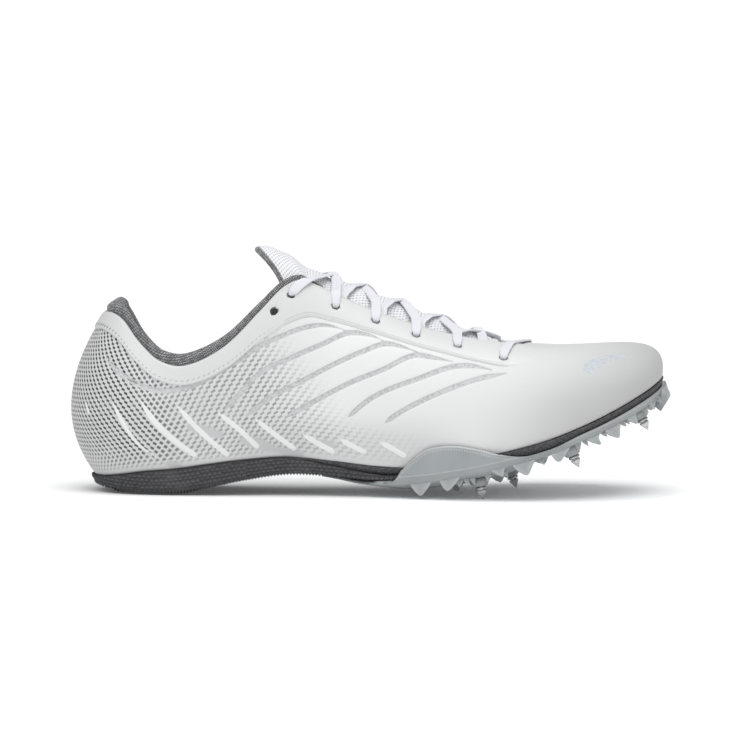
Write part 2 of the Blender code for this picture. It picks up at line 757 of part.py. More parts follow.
normal /= np.linalg.norm(normal, axis=-1, keepdims=True)
under = grid - normal * TONGUE_THICKNESS
rows = [sheet.add(near, far) for near, far in zip(grid, under)]
for behind, ahead in zip(rows, rows[1:]):
    sheet.strip(ahead, behind)
sheet.thicken()
tongue = add_object("tongue", sheet.near, sheet.faces, (0.8, 0.8, 0.82), 0.7)
bodies.append((sheet.near, sheet.faces))


def plate_place(place, share):
    """A point on the plate's lower face, with unit directions ahead along it and down out of it."""

    def at(where):
        lateral = plate_corner(where, WING_THICKNESS, PLATE_THICKNESS)
        medial = plate_corner(2.0 - where, WING_THICKNESS, PLATE_THICKNESS)
        point = lateral + (medial - lateral) * (share + 1) / 2
        point[2] -= belly(where) * MM * (1 - abs(share) ** BELLY_POWER)
        return point

    ahead = at(place + 0.005) - at(place - 0.005)
    ahead[1] = 0.0
    ahead /= np.linalg.norm(ahead)
    return at(place), ahead, np.array([ahead[2], 0.0, -ahead[0]])


def gather(made):
    """Several closed bodies that don't touch, as one list of points and faces."""
    points, faces = [], []
    for more, triangles in made:
        first = len(points)
        points += list(more)
        faces += [tuple(index + first for index in face) for face in facing_out(more, triangles)]
    return points, faces


def fin(middle, along, down, length, height, lean):
    """A lug that narrows from a root let into the plate to a short tip."""
    across_it = np.cross(along, down)
    outline = (
        (-0.5 * length, -ROOT),
        (0.5 * length, -ROOT),
        (0.46 * length, 0.2 * height),
        (lean + 0.1 * length, height),
        (lean - 0.12 * length, height),
        (-0.46 * length, 0.2 * height),
    )

    def face(side_sign):
        def place(p):
            half = 0.5 * LUG_THICKNESS * (1.0 - 0.4 * max(p[1], 0.0) / height)
            return middle + along * p[0] + down * p[1] + across_it * side_sign * half

        return place

    return prism(outline, face(-1.0), face(1.0))


def turned(middle, axis, profile, sides, square=False):
    """A closed body of rings about an axis. The profile holds (distance along it, radius)."""
    cross_x = np.cross(axis, [0.0, 1.0, 0.0])
    cross_x /= np.linalg.norm(cross_x)
    cross_y = np.cross(axis, cross_x)
    angles = 2 * math.pi * np.arange(sides) / sides
    points, faces = [], []
    for along, radius in profile:
        stretch = 1.0
        if square and along > PIN_BASE_HEIGHT:
            stretch = 0.8 / np.maximum(np.abs(np.cos(angles)), np.abs(np.sin(angles)))
        ring = np.outer(np.cos(angles) * stretch, cross_x) + np.outer(np.sin(angles) * stretch, cross_y)
        points += list(middle + axis * along + ring * radius)
    for k in range(len(profile) - 1):
        for j in range(sides):
            a, b = k * sides + j, k * sides + (j + 1) % sides
            faces += [(a, b, b + sides), (a, b + sides, a + sides)]
    last_ring = (len(profile) - 1) * sides
    for j in range(1, sides - 1):
        faces += [(0, j + 1, j), (last_ring, last_ring + j, last_ring + j + 1)]
    return points, faces


# Lugs and the claw at the toe
edge_fins = []
for place, length, share, lean in EDGE_LUGS:
    for lap in (place, 2.0 - place):
        corner = plate_corner(lap, WING_THICKNESS - 0.5 * LUG_THICKNESS - 0.0003, PLATE_THICKNESS)
        ahead = plate_corner(place + 0.004, 0.0, 0.0) - plate_corner(place - 0.004, 0.0, 0.0)
        if lap > 1.0:
            ahead = plate_corner(lap - 0.004, 0.0, 0.0) - plate_corner(lap + 0.004, 0.0, 0.0)
        ahead /= np.linalg.norm(ahead)
        down = -np.array([0.0, 0.0, 1.0]) + ahead * ahead[2]
        down /= np.linalg.norm(down)
        edge_fins.append(fin(corner, ahead, down, length * MM, LUG_HEIGHT * share, lean * MM))
inner_fins = []
for place, share, length in INNER_LUGS:
    middle, ahead, down = plate_place(place, share)
    inner_fins.append(fin(middle, ahead, down, length * MM, 0.55 * LUG_HEIGHT, 0.0))
claw_laps = np.linspace(*CLAW_LAPS, 7)
claw = []
for lap in claw_laps:
    base, way = footprint(lap), outward(lap)
    base[2] = TOE_LIFT * edge_low(lap)
    claw.append([base + way * p[0] * MM + np.array([0.0, 0.0, p[1] * MM]) for p in TOE_CLAW])
claw_faces = []
turns = len(TOE_CLAW)
for k in range(len(claw) - 1):
    for j in range(turns):
        a, b = k * turns + j, k * turns + (j + 1) % turns
        claw_faces += [(a, b, b + turns), (a, b + turns, a + turns)]
for j in range(1, turns - 1):
    ending = (len(claw) - 1) * turns
    claw_faces += [(0, j + 1, j), (ending, ending + j, ending + j + 1)]

# Spike pins on bosses. A pin that stands on the floor has a longer boss and a level tip
bosses = []
for number, (place, share, standing) in enumerate(PINS, 1):
    middle, ahead, down = plate_place(place, share)
    height = BOSS_HEIGHT
    if standing:
        height = middle[2] / -down[2] - PIN_LENGTH - CLEARANCE
    profile = ((-ROOT, BOSS_RADIUS), (0.4 * height, BOSS_RADIUS), (height, 0.74 * BOSS_RADIUS))
    bosses.append(turned(middle, down, profile, 10))
    profile = (
        (0.0, 0.86 * PIN_BASE_RADIUS),
        (0.4 * PIN_BASE_HEIGHT, PIN_BASE_RADIUS),
        (PIN_BASE_HEIGHT, PIN_BASE_RADIUS),
        (1.15 * PIN_BASE_HEIGHT, PIN_WAIST_RADIUS),
        (PIN_LENGTH, PIN_TIP_RADIUS),
    )
    points, faces = turned(middle + down * (height + CLEARANCE), down, profile, 8, square=True)
    if standing:
        for point in points[-8:]:
            point[2] = 0.0
    add_object(f"pin_{number}", points, facing_out(points, faces), (0.6, 0.6, 0.62), 0.2, 1.0)
joined = [
    helper("odd_lugs", *gather(edge_fins[0::4] + edge_fins[1::4])),
    helper("even_lugs", *gather(edge_fins[2::4] + edge_fins[3::4])),
    helper("inner_lugs", *gather(inner_fins)),
    helper("bosses", *gather(bosses)),
    helper("claw", *gather([(sum(claw, []), claw_faces)])),
]
combine(plate, joined, "UNION")

# Eyelet holes
cutters = []
eyelets = {}
for number, (lateral, medial, lateral_depth, medial_depth) in enumerate(EYELETS):
    for side_name, lap, share in (
        ("lateral", lateral, lateral_depth),
        ("medial", 2.0 - medial, medial_depth),
    ):
        v = at_distance(lap, share * EYELET_INSET)
        middle = skin(lap, v)
        normal, _ = skin_frame(lap, v)
        eyelets[number, side_name] = middle
        cutters.append(turned(middle, normal, ((-0.004, EYELET_RADIUS), (0.003, EYELET_RADIUS)), 8))
combine(upper, [helper("eyelet_holes", *gather(cutters))], "DIFFERENCE")


# Laces: flat straps that lie taut over the eyelet panels and the tongue
def surface_height(x, y):
    best = 0.0
    for tree in trees:
        hit = tree.ray_cast(Vector((x, y, 0.3)), Vector((0.0, 0.0, -1.0)))
        if hit[0] is not None:
            best = max(best, hit[0].z)
    return best


def plan_line(start, end, held, steps):
    """Places in plan from start to end, where X keeps its value for the share `held` of the way."""
    plan = start[:2] + (end[:2] - start[:2]) * steps[:, None]
    if held:
        share = np.clip((steps - held) / (1.0 - held), 0.0, 1.0)
        plan[:, 0] = start[0] + (end[0] - start[0]) * share * share * (3 - 2 * share)
    return plan


def taut(plan, steps):
    """Heights of a taut line over the shoe, at places in plan."""
    side_way = np.gradient(plan, axis=0)[:, ::-1] * [-1.0, 1.0]
    side_way /= np.linalg.norm(side_way, axis=1, keepdims=True)
    spots = []
    for step, place, aside in zip(steps, plan, side_way):
        edges = [place + aside * LACE_WIDTH * share for share in (-0.5, 0.0, 0.5)]
        spots.append((step, max(surface_height(*spot) for spot in edges)))
    hull = []
    for spot in spots:
        while len(hull) > 1 and (hull[-1][1] - hull[-2][1]) * (spot[0] - hull[-2][0]) <= (
            spot[1] - hull[-2][1]
        ) * (hull[-1][0] - hull[-2][0]):
            hull.pop()
        hull.append(spot)
    return np.interp(steps, *np.array(hull).T)


def strap(start, end, held=0.0, pieces=12):
    """A flat band from one place to another, standing clear of what it lies on."""
    steps = np.linspace(0.0, 1.0, 49)
    plan = plan_line(start, end, held, steps)
    heights = taut(plan, steps)
    slope = np.gradient(heights) / np.linalg.norm(np.gradient(plan, axis=0), axis=1)
    heights = heights + (LACE_GAP + LACE_THICKNESS / 2) * np.sqrt(1 + slope**2)
    at = np.linspace(0.0, 1.0, pieces + 1)
    plan = plan_line(start, end, held, at)
    line = np.column_stack([plan, np.interp(at, steps, heights)])
    along = np.gradient(line, axis=0)
    along /= np.linalg.norm(along, axis=-1, keepdims=True)
    beside = np.cross(along, [0.0, 0.0, 1.0])
    beside /= np.linalg.norm(beside, axis=-1, keepdims=True)
    up = np.cross(beside, along)
    corners = ((-0.5, -0.5), (0.5, -0.5), (0.42, 0.5), (-0.42, 0.5))
    points = []
    for place, across_it, over in zip(line, beside, up):
        points += [place + across_it * LACE_WIDTH * a + over * LACE_THICKNESS * b for a, b in corners]
    faces = []
    count = len(corners)
    for k in range(pieces):
        for j in range(count):
            a, b = k * count + j, k * count + (j + 1) % count
            faces += [(a, b, b + count), (a, b + count, a + count)]
    for j in range(1, count - 1):
        ending = pieces * count
        faces += [(0, j + 1, j), (ending, ending + j, ending + j + 1)]
    return points, facing_out(points, faces)


trees = [
    BVHTree.FromPolygons([tuple(point) for point in points], faces) for points, faces in bodies
]
lace_color = (0.86, 0.86, 0.9)
last_eyelet = len(EYELETS) - 1
toe_bar = strap(eyelets[last_eyelet, "lateral"], eyelets[last_eyelet, "medial"])
add_object("lace_toe_bar", *toe_bar, lace_color)


def dive(number, side_name):
    """Where a strap goes under the panel, between an eyelet and the one ahead of it."""
    which = 0 if side_name == "lateral" else 1
    place = EYELETS[number][which] * (1 - LACE_DIVE) + EYELETS[number + 1][which] * LACE_DIVE
    inward = LACE_END if side_name == "lateral" else -LACE_END
    return topline(place if which == 0 else 2.0 - place) + np.array([0.0, inward, 0.0])


for number in range(FIRST_LACED, last_eyelet):
    bands = []
    for near_side, far_side in (("lateral", "medial"), ("medial", "lateral")):
        begin, goal = eyelets[number + 1, near_side], dive(number, far_side)
        if number == FIRST_LACED:
            goal = eyelets[number, far_side]
        if number + 1 == last_eyelet:
            begin = dive(number, near_side) + np.array([LACE_HIDDEN, 0.0, 0.0])
        bands.append(strap(begin, goal, TOP_LACE_HELD if number == FIRST_LACED else 0.0))
    crossing = add_object(f"lace_crossing_{number}", *bands[0], lace_color)
    combine(crossing, [helper(f"lace_under_{number}", *bands[1])], "UNION")
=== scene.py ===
"""Track spike shoe for the right foot, dressed for its picture.

X runs from heel to toe, -Y is the outer (lateral) side and +Z is up. Every soft and moulded piece is a
surface worked out from the same curves round the shoe: the footprint, where the upper meets the sole,
and the topline, the edge of the collar and the throat.

A place round the shoe is a number called lap: 0 at the back of the heel, 1 at the tip of the toe along
the lateral side, and back to 2 along the medial side. A station runs from 0 at the heel to 1 at the toe.
"""

import math

import bpy
import numpy as np
from mathutils import Matrix, Vector
from mathutils.bvhtree import BVHTree


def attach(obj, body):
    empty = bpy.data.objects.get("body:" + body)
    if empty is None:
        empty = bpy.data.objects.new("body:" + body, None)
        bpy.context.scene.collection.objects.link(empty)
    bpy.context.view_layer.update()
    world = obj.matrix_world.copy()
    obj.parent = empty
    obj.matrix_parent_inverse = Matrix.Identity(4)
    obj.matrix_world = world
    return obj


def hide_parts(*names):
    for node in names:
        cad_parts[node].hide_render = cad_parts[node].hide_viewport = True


MM = 0.001

# Main sizes of the last, in metres
LAST_LENGTH = 0.270
HEEL_TO_REST = 0.031
BALL_WIDTH = 0.0886
TOE_LIFT = 0.0562
INSTEP_HEIGHT = 0.102
THROAT_SPREAD = 0.048

# Walls and gaps
CLEARANCE = 0.0003
UPPER_WALL = 0.0016
PANEL_STEP = 0.0007
PANEL_RAMP = (0.0004, 0.0006)
TUCK = 0.0014
INSOLE_THICKNESS = 0.003
TONGUE_THICKNESS = 0.0026

# Sole
RIM_DEPTH = 0.0022
RIM_SHARE = 0.36
SOLE_PROUD = 0.0013
SOLE_UNDERCUT = 0.0004
SOLE_BULGE = 0.0012
RUBBER_THICKNESS = 0.0016
RUBBER_SIDE = 0.0009
RUBBER_SHARE = 0.3
RUBBER_STATIONS = (0.40, 0.535)
PLATE_THICKNESS = 0.0018
TAIL_SLACK = 0.0006
WING_HEIGHT = 0.0132
WING_THICKNESS = 0.0013
WING_SLACK = 0.0005
WING_START = (0.507, 0.528)
RIDGE_HEIGHT = 0.0014
RIDGE = 0.0005
DOT_PITCH = 1.25
DOT_DEPTH = 1.6
BELLY_POWER = 3.5

# Scales and teeth on the side of the rubber heel, in millimetres
SCALE_WIDTH = 2.3
SCALE_HEIGHT = 1.7
SCALE_DEPTH = 0.4
TOOTH_PITCH = 1.5
TOOTH_HEIGHT = 1.3

# Spike pins, their bosses and the lugs
PIN_LENGTH = 0.0060
PIN_BASE_HEIGHT = 0.0013
BOSS_RADIUS = 0.0046
BOSS_HEIGHT = 0.0044
LUG_HEIGHT = 0.0062
LUG_THICKNESS = 0.0026
ROOT = 0.0009
LUG_CORNERS = 9
# Painted light round each lug, none on its middle section and most on its two faces
LUG_EDGE_LIGHT = (0.6, 0.3, 0.0, 0.3, 0.6)

# Pin: distance along it and radius
PIN_PROFILE = (
    (0.0, 0.0023),
    (0.0003, 0.0027),
    (0.0010, 0.0027),
    (0.0013, 0.0024),
    (0.0014, 0.0019),
    (0.0018, 0.0019),
    (0.0019, 0.0027),
    (0.0024, 0.0027),
    (PIN_LENGTH - 0.0003, 0.0004),
    (PIN_LENGTH, 0.0002),
)

# Laces and eyelets
EYELET_RADIUS = 0.0018
EYELET_INSET = 0.0078
LACE_WIDTH = 0.0046
LACE_THICKNESS = 0.0011
LACE_DIVE = 0.3
LACE_HIDDEN = 0.0135
TOP_LACE_HELD = 0.3
TOP_LACE_SLANT = 0.034
LACE_HELD = 0.22
LACE_STEPS = 1500

# Sole edge: station, lateral and medial half width as shares of BALL_WIDTH,
# height of the sole's top edge and of its lower edge as shares of TOE_LIFT,
# and how far the middle of the underside hangs below its lower edge, in millimetres
FOOTPRINT = (
    (0.00, 0.000, 0.000, 0.144, 0.084, 0.0),
    (0.05, 0.103, 0.098, 0.142, 0.078, 0.7),
    (0.10, 0.192, 0.183, 0.145, 0.062, 1.6),
    (0.15, 0.254, 0.240, 0.165, 0.042, 2.2),
    (0.20, 0.293, 0.277, 0.196, 0.028, 2.3),
    (0.25, 0.314, 0.290, 0.220, 0.037, 2.5),
    (0.30, 0.319, 0.284, 0.262, 0.083, 1.6),
    (0.35, 0.309, 0.262, 0.303, 0.145, 1.0),
    (0.40, 0.299, 0.237, 0.326, 0.193, 0.8),
    (0.45, 0.312, 0.238, 0.297, 0.181, 1.0),
    (0.50, 0.352, 0.268, 0.262, 0.158, 2.4),
    (0.55, 0.415, 0.338, 0.262, 0.192, 5.2),
    (0.60, 0.474, 0.418, 0.332, 0.258, 6.6),
    (0.65, 0.501, 0.474, 0.415, 0.341, 6.2),
    (0.70, 0.496, 0.506, 0.508, 0.434, 3.2),
    (0.75, 0.464, 0.510, 0.622, 0.548, 1.6),
    (0.80, 0.406, 0.480, 0.736, 0.660, 1.0),
    (0.85, 0.327, 0.428, 0.840, 0.763, 0.7),
    (0.90, 0.231, 0.361, 0.922, 0.846, 0.5),
    (0.95, 0.100, 0.240, 0.977, 0.900, 0.3),
    (1.00, -0.079, 0.079, 1.000, 0.925, 0.0),
)

# Topline: station, distance ahead of the footprint's heel as a share of LAST_LENGTH, lateral and
# medial half width as shares of THROAT_SPREAD, lateral and medial height as shares of INSTEP_HEIGHT
TOPLINE = (
    (0.00, 0.016, 0.000, 0.000, 0.828, 0.828),
    (0.05, 0.021, 0.190, 0.190, 0.835, 0.840),
    (0.10, 0.034, 0.330, 0.325, 0.836, 0.852),
    (0.15, 0.056, 0.435, 0.425, 0.800, 0.784),
    (0.20, 0.085, 0.520, 0.505, 0.702, 0.664),
    (0.25, 0.122, 0.590, 0.570, 0.618, 0.578),
    (0.30, 0.170, 0.625, 0.600, 0.603, 0.564),
    (0.35, 0.238, 0.610, 0.590, 0.700, 0.666),
    (0.39, 0.293, 0.570, 0.555, 0.850, 0.834),
    (0.425, 0.333, 0.530, 0.520, 0.960, 0.958),
    (0.455, 0.364, 0.500, 0.490, 0.998, 0.996),
    (0.49, 0.396, 0.475, 0.470, 0.968, 0.966),
    (0.55, 0.470, 0.435, 0.435, 0.880, 0.880),
    (0.60, 0.545, 0.400, 0.410, 0.806, 0.806),
    (0.70, 0.660, 0.325, 0.370, 0.728, 0.728),
    (0.80, 0.727, 0.215, 0.310, 0.702, 0.702),
    (0.90, 0.752, 0.070, 0.200, 0.694, 0.694),
    (1.00, 0.757, -0.065, 0.065, 0.692, 0.692),
)

# Swell of the side: station, then the two handles of the rib's curve in millimetres. The lower
# handle leans out and up from the sole, the upper one forward, sideways and down from the topline
SWELL = (
    (0.00, 16.0, 21.5, -19.5, 0.0, 31.0),
    (0.10, 14.0, 21.5, -14.0, 10.0, 31.0),
    (0.20, 9.0, 19.0, -4.0, 10.0, 26.0),
    (0.30, 5.0, 17.0, 1.0, 4.0, 18.0),
    (0.40, 8.0, 22.0, 4.0, 9.0, 26.0),
    (0.50, 8.0, 25.0, 6.0, 14.0, 20.0),
    (0.60, 5.0, 24.0, 8.0, 17.0, 12.0),
    (0.70, 4.0, 22.0, 12.0, 17.0, 7.0),
    (0.80, 3.5, 19.2, 24.0, 15.0, 3.4),
    (0.90, 4.2, 20.8, 34.0, 8.0, 2.8),
    (1.00, 4.2, 24.0, 39.0, 0.0, 2.8),
)

# Collar and eyelet panel: station and the panel's width down from the topline, in millimetres
PANEL = (
    (0.00, 8.0),
    (0.10, 9.0),
    (0.20, 10.0),
    (0.30, 9.0),
    (0.38, 12.0),
    (0.42, 16.3),
    (0.46, 18.1),
    (0.50, 17.2),
    (0.55, 16.0),
    (0.60, 17.5),
    (0.63, 19.2),
    (0.66, 22.4),
    (0.70, 27.0),
    (0.75, 25.0),
    (0.85, 16.0),
    (1.00, 10.0),
)

# Tongue: station, how far its side edge runs down inside the upper, and how far its crest lies ahead
# of and above the topline, all in millimetres
TONGUE = (
    (0.425, 5.0, -13.5, 18.5),
    (0.445, 8.0, -10.0, 15.0),
    (0.465, 10.0, -6.5, 9.8),
    (0.500, 12.0, -1.0, 6.0),
    (0.550, 12.0, 0.0, 7.6),
    (0.600, 12.0, 0.0, 7.2),
    (0.700, 12.0, 0.0, 3.4),
    (0.780, 10.0, 0.0, 0.2),
    (0.860, 8.0, 0.0, -1.8),
    (1.000, 7.0, 0.0, -2.6),
)
TONGUE_STATIONS = (0.427, 0.962)
BINDING_RADII = (0.0015, 0.0016)

# Collar lining: station, height of its roll above the topline, thickness of the roll and of the pad
# below it, and how far it runs down inside, all in millimetres
LINING = (
    (0.00, 6.4, 6.6, 3.4, 36.0),
    (0.08, 6.4, 6.0, 3.4, 35.0),
    (0.15, 6.2, 4.8, 3.0, 33.0),
    (0.20, 6.6, 4.6, 3.0, 31.0),
    (0.30, 6.5, 4.0, 2.6, 26.0),
    (0.38, 5.4, 3.0, 2.0, 22.0),
    (0.44, 4.0, 2.2, 1.4, 18.0),
    (0.50, 3.4, 1.4, 1.0, 14.0),
    (1.00, 2.4, 1.4, 1.0, 14.0),
)
LINING_END = 0.50
LINING_OVERHANG = 0.0032

# Wing and lip of the plate: station and rise above the sole's lower edge, as a share of WING_HEIGHT
WING = (
    (0.000, 0.06),
    (0.500, 0.06),
    (0.5225, 0.10),
    (0.530, 0.38),
    (0.540, 0.64),
    (0.556, 0.94),
    (0.570, 1.00),
    (0.585, 0.95),
    (0.611, 0.68),
    (0.639, 0.30),
    (0.660, 0.08),
    (0.750, 0.08),
    (1.000, 0.08),
)

# Reach of the plate across the sole: station and share of the half width
PLATE_REACH = (
    (0.4375, 0.20),
    (0.46875, 0.55),
    (0.500, 1.00),
    (1.000, 1.00),
)

# Eyelets from the ankle down: lateral and medial station, lateral and medial distance below the
# topline as shares of EYELET_INSET
EYELETS = (
    (0.408, 0.408, 0.84, 0.84),
    (0.436, 0.436, 0.72, 0.72),
    (0.508, 0.508, 1.09, 1.09),
    (0.560, 0.560, 1.00, 1.00),
    (0.604, 0.604, 1.20, 1.20),
    (0.656, 0.656, 1.50, 1.50),
    (0.708, 0.800, 2.69, 1.70),
)
FIRST_LACED = 1

# Spike pins: station, share of the half width (minus is lateral), and 1 where it stands on the floor
PINS = (
    (0.615, -0.72, 1),
    (0.655, 0.59, 1),
    (0.731, -0.68, 0),
    (0.731, 0.66, 0),
    (0.858, -0.56, 0),
    (0.858, 0.58, 0),
)

# Lugs along both edges of the plate: station, length in millimetres, share of LUG_HEIGHT, and how
# far ahead of the middle its tip is, in millimetres
EDGE_LUGS = (
    (0.548, 11.0, 1.00, -1.0),
    (0.580, 11.0, 0.95, -2.0),
    (0.636, 7.0, 0.70, 1.0),
    (0.667, 11.5, 1.05, 0.0),
    (0.716, 10.0, 0.80, -2.2),
    (0.765, 6.5, 0.85, 2.0),
    (0.800, 9.5, 1.05, 1.0),
    (0.840, 6.0, 0.85, 2.0),
    (0.905, 7.0, 0.75, 1.0),
    (0.945, 5.0, 0.85, 1.0),
)

# Lugs inside the edge: station, share of the half width, length in millimetres
INNER_LUGS = (
    (0.590, -0.25, 7.0),
    (0.590, 0.30, 7.0),
    (0.640, -0.30, 7.0),
    (0.695, -0.30, 8.0),
    (0.695, 0.32, 8.0),
    (0.775, -0.26, 7.0),
    (0.775, 0.30, 7.0),
    (0.835, 0.04, 7.0),
)

# Small sharp lugs near the lateral and the medial edge: station, length in millimetres and lean
SMALL_LUGS = (
    (0.592, 3.4, -0.5),
    (0.600, 2.8, 0.6),
    (0.607, 3.0, 0.4),
    (0.625, 3.2, -0.6),
    (0.645, 2.6, 0.5),
    (0.690, 3.0, 0.6),
    (0.742, 3.4, -0.4),
    (0.752, 2.8, 0.6),
    (0.782, 3.0, 0.8),
    (0.818, 3.2, 0.8),
    (0.826, 2.6, 0.6),
    (0.872, 3.4, 0.6),
    (0.882, 2.8, 0.8),
    (0.922, 3.0, 0.6),
)

# Toe claw: distance out from the footprint and height above the sole's lower edge, in millimetres
TOE_CLAW = (
    (0.5, -1.2),
    (2.6, 1.6),
    (3.6, -1.5),
    (4.8, -4.0),
    (1.6, -9.4),
    (-2.0, -6.6),
    (-1.2, -2.6),
)
CLAW_LAPS = (0.935, 1.065)

# Grey mesh channels in the side of the upper, seen from the side: distance ahead and height in
# millimetres of the places that each one runs through
CHANNELS = (
    (
        (-27.0, 71.2), (-18.5, 58.6), (-8.2, 52.4), (0.7, 49.7), (14.2, 51.0), (27.6, 57.7),
        (37.5, 63.6), (48.8, 71.0), (58.1, 75.4), (67.8, 79.2), (77.1, 80.9), (91.1, 78.4),
    ),
    (
        (28.5, 36.9), (38.7, 47.7), (48.9, 58.5), (63.3, 65.6), (77.2, 71.8), (91.6, 77.5),
        (99.0, 76.6), (106.5, 73.9),
    ),
    (
        (38.3, 34.1), (45.2, 40.3), (53.6, 46.9), (68.0, 54.5), (81.9, 62.1), (96.3, 68.7),
        (108.4, 72.5), (114.9, 71.2), (121.9, 68.9),
    ),
    (
        (56.0, 34.8), (66.7, 40.9), (77.4, 47.1), (91.8, 54.7), (105.7, 60.4), (122.9, 67.4),
        (129.0, 66.4), (139.0, 64.4),
    ),
    ((86.3, 34.5), (100.2, 46.8), (123.0, 56.8), (141.5, 62.6), (148.0, 62.6), (157.0, 60.8)),
    ((104.0, 33.3), (114.2, 40.8), (132.8, 50.3), (151.4, 57.0), (163.9, 59.4)),
)
CHANNEL_WIDTH = 2.4
SLOT_ROW = 1.8
MESH_ROW = 2.1

# White slashes low on the quarter, seen from the side: greatest width, how much thinner the lower end
# is, then their places from the top down, in millimetres
SLASHES = (
    (1.2, 0.0, ((-33.7, 44.3), (-31.9, 38.1))),
    (2.0, 0.75, ((-21.8, 47.4), (-16.1, 35.7), (-7.7, 24.1), (5.4, 15.3))),
    (2.7, 0.0, ((-8.7, 47.0), (1.1, 33.5), (9.5, 25.7), (17.9, 19.7))),
    (2.5, 0.0, ((8.5, 44.3), (20.2, 31.4), (26.8, 25.3), (33.3, 19.8))),
    (2.5, 0.0, ((27.6, 40.8), (39.3, 31.5), (47.3, 23.6))),
    (2.5, 0.0, ((44.9, 38.1), (54.7, 30.2), (64.5, 22.8))),
    (2.5, 0.0, ((67.7, 30.3), (75.2, 25.7), (82.7, 21.6))),
    (2.5, 0.0, ((85.4, 28.1), (92.0, 24.4), (97.6, 21.7))),
    (2.5, 0.0, ((104.1, 26.9), (110.6, 23.7), (116.3, 20.4))),
)

# Smooth dents between the slashes, grey with painted shade, and a dark seam below the collar, in the same
# way
DENTS = (
    (3.6, ((16.6, 32.6), (29.9, 29.1))),
    (4.2, ((41.7, 26.7), (53.8, 22.6))),
    (2.8, ((56.8, 21.9), (68.0, 19.4))),
    (2.8, ((76.2, 25.5), (82.3, 24.8))),
    (3.4, ((6.2, 15.2), (13.2, 11.4))),
)
SEAMS = (
    (0.7, ((-27.9, 72.0), (-18.0, 58.2))),
    (0.9, ((-14.9, 55.5), (-7.3, 52.4))),
)
SILVER = ((200.8, 60.4), (205.0, 62.8), (210.3, 64.8), (216.5, 66.0), (223.2, 66.2))

# Grey of the cloth and of its smooth panel: distance ahead in millimetres and their two values
GREYS = (
    (-32.0, 0.60, 0.56),
    (-10.0, 0.63, 0.66),
    (40.0, 0.66, 0.66),
    (85.0, 0.80, 0.66),
    (130.0, 0.76, 0.68),
    (155.0, 0.72, 0.72),
    (190.0, 0.68, 0.68),
    (235.0, 0.62, 0.62),
)

# Camera: what it looks at, how far off, how high and how turned, and its focal length
LOOK_AT = (0.10104, 0.0, 0.0572)
CAMERA_DISTANCE = 1.6
CAMERA_RISE = 3.5
CAMERA_ROLL = 0.45
FOCAL_LENGTH = 162.4

AROUND = 640  # steps round the upper
SOLE_STEPS = 160  # steps from heel to toe along the sole
TRAY_ROWS = 41  # places across the plate
UPPER_ROWS = (62, 6, 26)  # places up the cloth, up the panel's step and up the panel
RIB_PARTS = 80  # parts of a rib that its length is summed over
LAP_STEP = 0.004  # half a step round the shoe that a direction is taken over
RIB_STEP = 0.01  # the same up a rib
OUTSIDE = -4.0  # stands for a place well outside a drawn line, in millimetres


def through(knots, heights, at):
    """Cubic curve through the points (knots, heights), with slopes from the neighbours on both sides."""
    steps = np.diff(knots)
    grades = np.diff(heights) / steps
    slopes = np.concatenate([grades[:1], grades[-1:]]) if len(knots) < 3 else np.zeros(len(knots))
    if len(knots) > 2:
        slopes[1:-1] = (grades[:-1] * steps[1:] + grades[1:] * steps[:-1]) / (steps[1:] + steps[:-1])
        slopes[0], slopes[-1] = grades[0], grades[-1]
    i = np.clip(np.searchsorted(knots, at, side="right") - 1, 0, len(knots) - 2)
    t = np.clip((at - knots[i]) / steps[i], 0.0, 1.0)
    return (
        heights[i] * (1 + 2 * t) * (1 - t) ** 2
        + slopes[i] * steps[i] * t * (1 - t) ** 2
        + heights[i + 1] * t * t * (3 - 2 * t)
        + slopes[i + 1] * steps[i] * t * t * (t - 1)
    )


def column(table, lateral, medial=None, signed=False):
    """One column of a table as a function of the lap. A signed column is negative on the lateral side."""
    medial = lateral if medial is None else medial
    sign = -1.0 if signed else 1.0
    rows = [(row[0], sign * row[lateral]) for row in table]
    rows += [(2.0 - row[0], row[medial]) for row in reversed(table[1:-1])]
    laps, values = np.array(rows).T
    knots = np.concatenate([laps - 2.0, laps, laps + 2.0])
    heights = np.tile(values, 3)
    return lambda at: through(knots, heights, np.mod(at, 2.0))


def straight(table, index):
    """One column of a table as a function of the lap's station, straight between its rows."""
    stations = [row[0] for row in table]
    values = [row[index] for row in table]
    return lambda at: np.interp(station_of(at), stations, values)


def eased(table, index):
    """One column of a table as a curve over the station."""
    rows = np.array(table)
    return lambda at: through(rows[:, 0], rows[:, index], at)


def station_of(lap):
    return 1.0 - np.abs(1.0 - np.mod(lap, 2.0))


edge_side = column(FOOTPRINT, 1, 2, signed=True)
edge_top = column(FOOTPRINT, 3)
edge_low = column(FOOTPRINT, 4)
belly = column(FOOTPRINT, 5)
top_ahead = column(TOPLINE, 1)
top_side = column(TOPLINE, 2, 3, signed=True)
top_height = column(TOPLINE, 4, 5)
lower_out = column(SWELL, 1)
lower_up = column(SWELL, 2)
upper_ahead = column(SWELL, 3)
upper_side = column(SWELL, 4, signed=True)
upper_down = column(SWELL, 5)
panel_width = column(PANEL, 1)
plate_reach = straight(PLATE_REACH, 1)
roll, fat, pad, deep = (column(LINING, k) for k in (1, 2, 3, 4))


def stack(*parts):
    return np.stack(np.broadcast_arrays(*parts), axis=-1)


def unit(vectors):
    """Vectors in the same directions, each one long."""
    return vectors / np.linalg.norm(vectors, axis=-1, keepdims=True)


def runs_along(points):
    """Length from the first point to each one, along lines of points held in the last axis but one."""
    steps = np.linalg.norm(np.diff(points, axis=-2), axis=-1)
    return np.concatenate([np.zeros((*steps.shape[:-1], 1)), np.cumsum(steps, axis=-1)], axis=-1)


def resampled(at, knots, values):
    """Rows of values at other places than their knots, straight between them."""
    return np.stack([np.interp(at, knots, column_values) for column_values in values.T], axis=-1)


